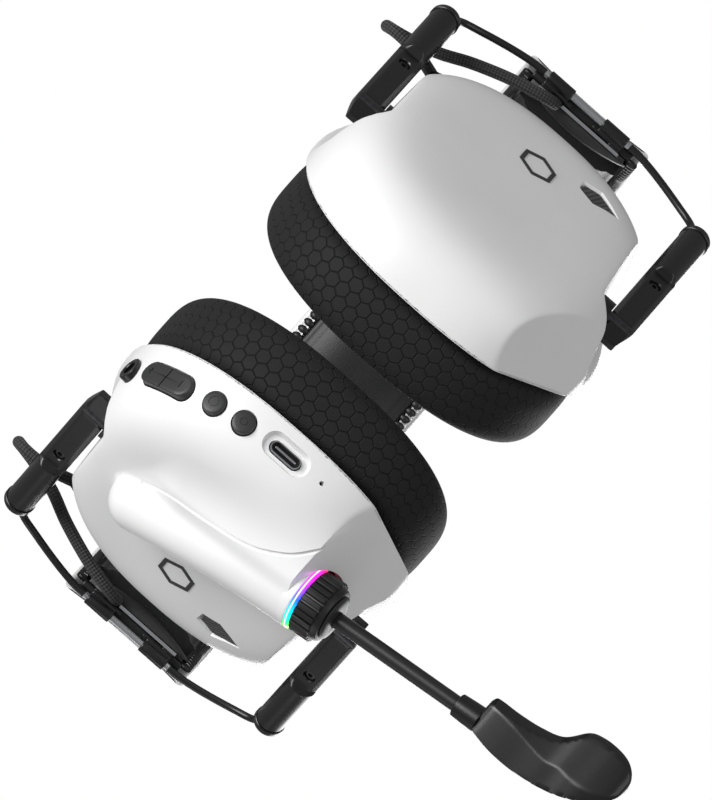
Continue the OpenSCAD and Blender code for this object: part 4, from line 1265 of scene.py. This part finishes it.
def mic_pod():
    """Sections square to Y between a plan outline's inner and outer sides. Each is a rounded
    polygon whose lower side has two faces, with a ridge between them that draws outwards."""
    y_at = np.array([-77.6, -78.2, -80, -85, -91, -96.5, -100.5, -104, -108, -111.5, -114, -115.6, -116.2])
    out_x = np.array([45.0, 46.6, 47.3, 48.0, 48.0, 47.3, 46.4, 45.3, 43.4, 41.2, 38.8, 36.0, 34.0])
    in_x = np.array([38.4, 37.0, 36.6, 36.2, 35.2, 33.2, 28.4, 27.0, 26.7, 27.2, 28.6, 30.6, 32.4])
    high = np.array([3.4, 4.0, 4.6, 4.9, 4.9, 5.1, 5.5, 5.8, 6.0, 5.7, 5.0, 3.6, 1.6])
    i = np.arange(len(y_at))

    def through(values):
        return spline(np.column_stack([i, values, 0 * i]), 10)[:, 1]
    y, xo, xi, h = (through(v) for v in (y_at, out_x, in_x, high))
    k = np.linspace(0, 2 * np.pi, 96, endpoint=False)[None]
    half = (xo - xi)[:, None] / 2
    mid = (xo + xi)[:, None] / 2
    h = h[:, None]
    cut = 0.74 * np.hypot(half, h)
    ridge = half * (1.1 * ease(-y, 80, 112) - 0.5)[:, None]
    strip = math.cos(math.radians(76)) * ridge + math.sin(math.radians(76)) * h
    lower = math.cos(math.radians(102)) * ridge + math.sin(math.radians(102)) * h
    walls = ((0, half), (180, half), (90, h), (-76, strip), (-102, lower), (-142, 1.02 * cut), (38, cut),
             (142, cut))
    r = plane_section(k, walls, 110)
    slope = math.tan(math.radians(14))
    x = mid + r * np.cos(k)
    z = DIAL_AT[2] + (y[:, None] - DIAL_AT[1]) * slope + r * np.sin(k)
    part = stack(np.stack([x, np.broadcast_to(y[:, None], x.shape), z], 2))
    return piece("mic_pod_shell", [part], "pod", black, sharp=22, stands_for=["mic_pod"])


def mic_grille():
    """A round dome in the pod's inner face, 0.6 (1 - r^2) proud, over the capsule."""
    at = np.array([36.6, -106, DIAL_AT[2] + (-106 - DIAL_AT[1]) * math.tan(math.radians(14))])
    r = np.array([2.5, 2.6, 2.55, 2.3, 1.9, 1.3, 0.7, 0.15])
    z = np.concatenate([[5.5, 8.6, 9.0], 9.15 + 0.6 * (1 - (r[3:] / 2.6) ** 2)])
    part = lathe(np.column_stack([r, z]), 48)
    return piece("mic_grille", [moved(part, lambda q: q @ turn("Y", -90).T + at)], "pod", steel_mesh,
                 stands_for=["mic_capsule"])


# ---- Making everything ----

place_camera()
light_the_room()
lay_floor()

band_shell()
band_cushion()
rib_strip(-1, "front_rib_pillows")
rib_strip(1, "rear_rib_pillows")
for side, hand in ((1, "left"), (-1, "right")):
    band_cover(side, f"{hand}_band_cover")
    leg_filler(side, f"{hand}_leg_filler")
    wire_clip(side, f"{hand}_wire_clips")
    yoke_wires(side, f"{hand}_wires")
    arm(side, -1, f"{hand}_front_arm")
    arm(side, 1, f"{hand}_rear_arm")
    arm_screws(side, f"{hand}_arm_screws")
    cup_shell(side, f"{hand}_shell")
    face_mark(side, f"{hand}_face_mark")
    face_mesh(side, f"{hand}_face_mesh")
    baffle_plate(side, f"{hand}_baffle_plate")
    ear_pad(side, f"{hand}_ear_pad")
    pad_liner(side, f"{hand}_pad_liner")
    lead_boot(side, f"{hand}_cup_grommet")
    lead(side, UPPER_ROUTE, f"{hand}_upper_lead",
         (81.2, 8, -98), (69.8, 43.5, -100))
    lead(side, LOWER_ROUTE, f"{hand}_lower_lead",
         (68.4, 48, -108.8), (66.2, 33.5, -115.5))
rocker()
round_key(POWER_Y, "power", "power", 1.25)
round_key(MODE_Y, "mode", "mode", 0.9)
jack_ring()
charging_port()
grip_dial()
light_guide()
boom_hub()
ring_collar()
boom_sleeve()
mic_pod()
mic_grille()

carried = {
    "spring_band": steel, "slider_blade": steel, "hinge_rod": steel, "pivot_pins": dark_steel,
    "driver": steel, "pivot_bushes": black,
    "circuit_board": circuit, "battery": steel,
}
for name, obj in nodes.items():
    for ending, finish in carried.items():
        if name == ending or name.endswith("_" + ending):
            obj.data.materials.clear()
            obj.data.materials.append(finish)
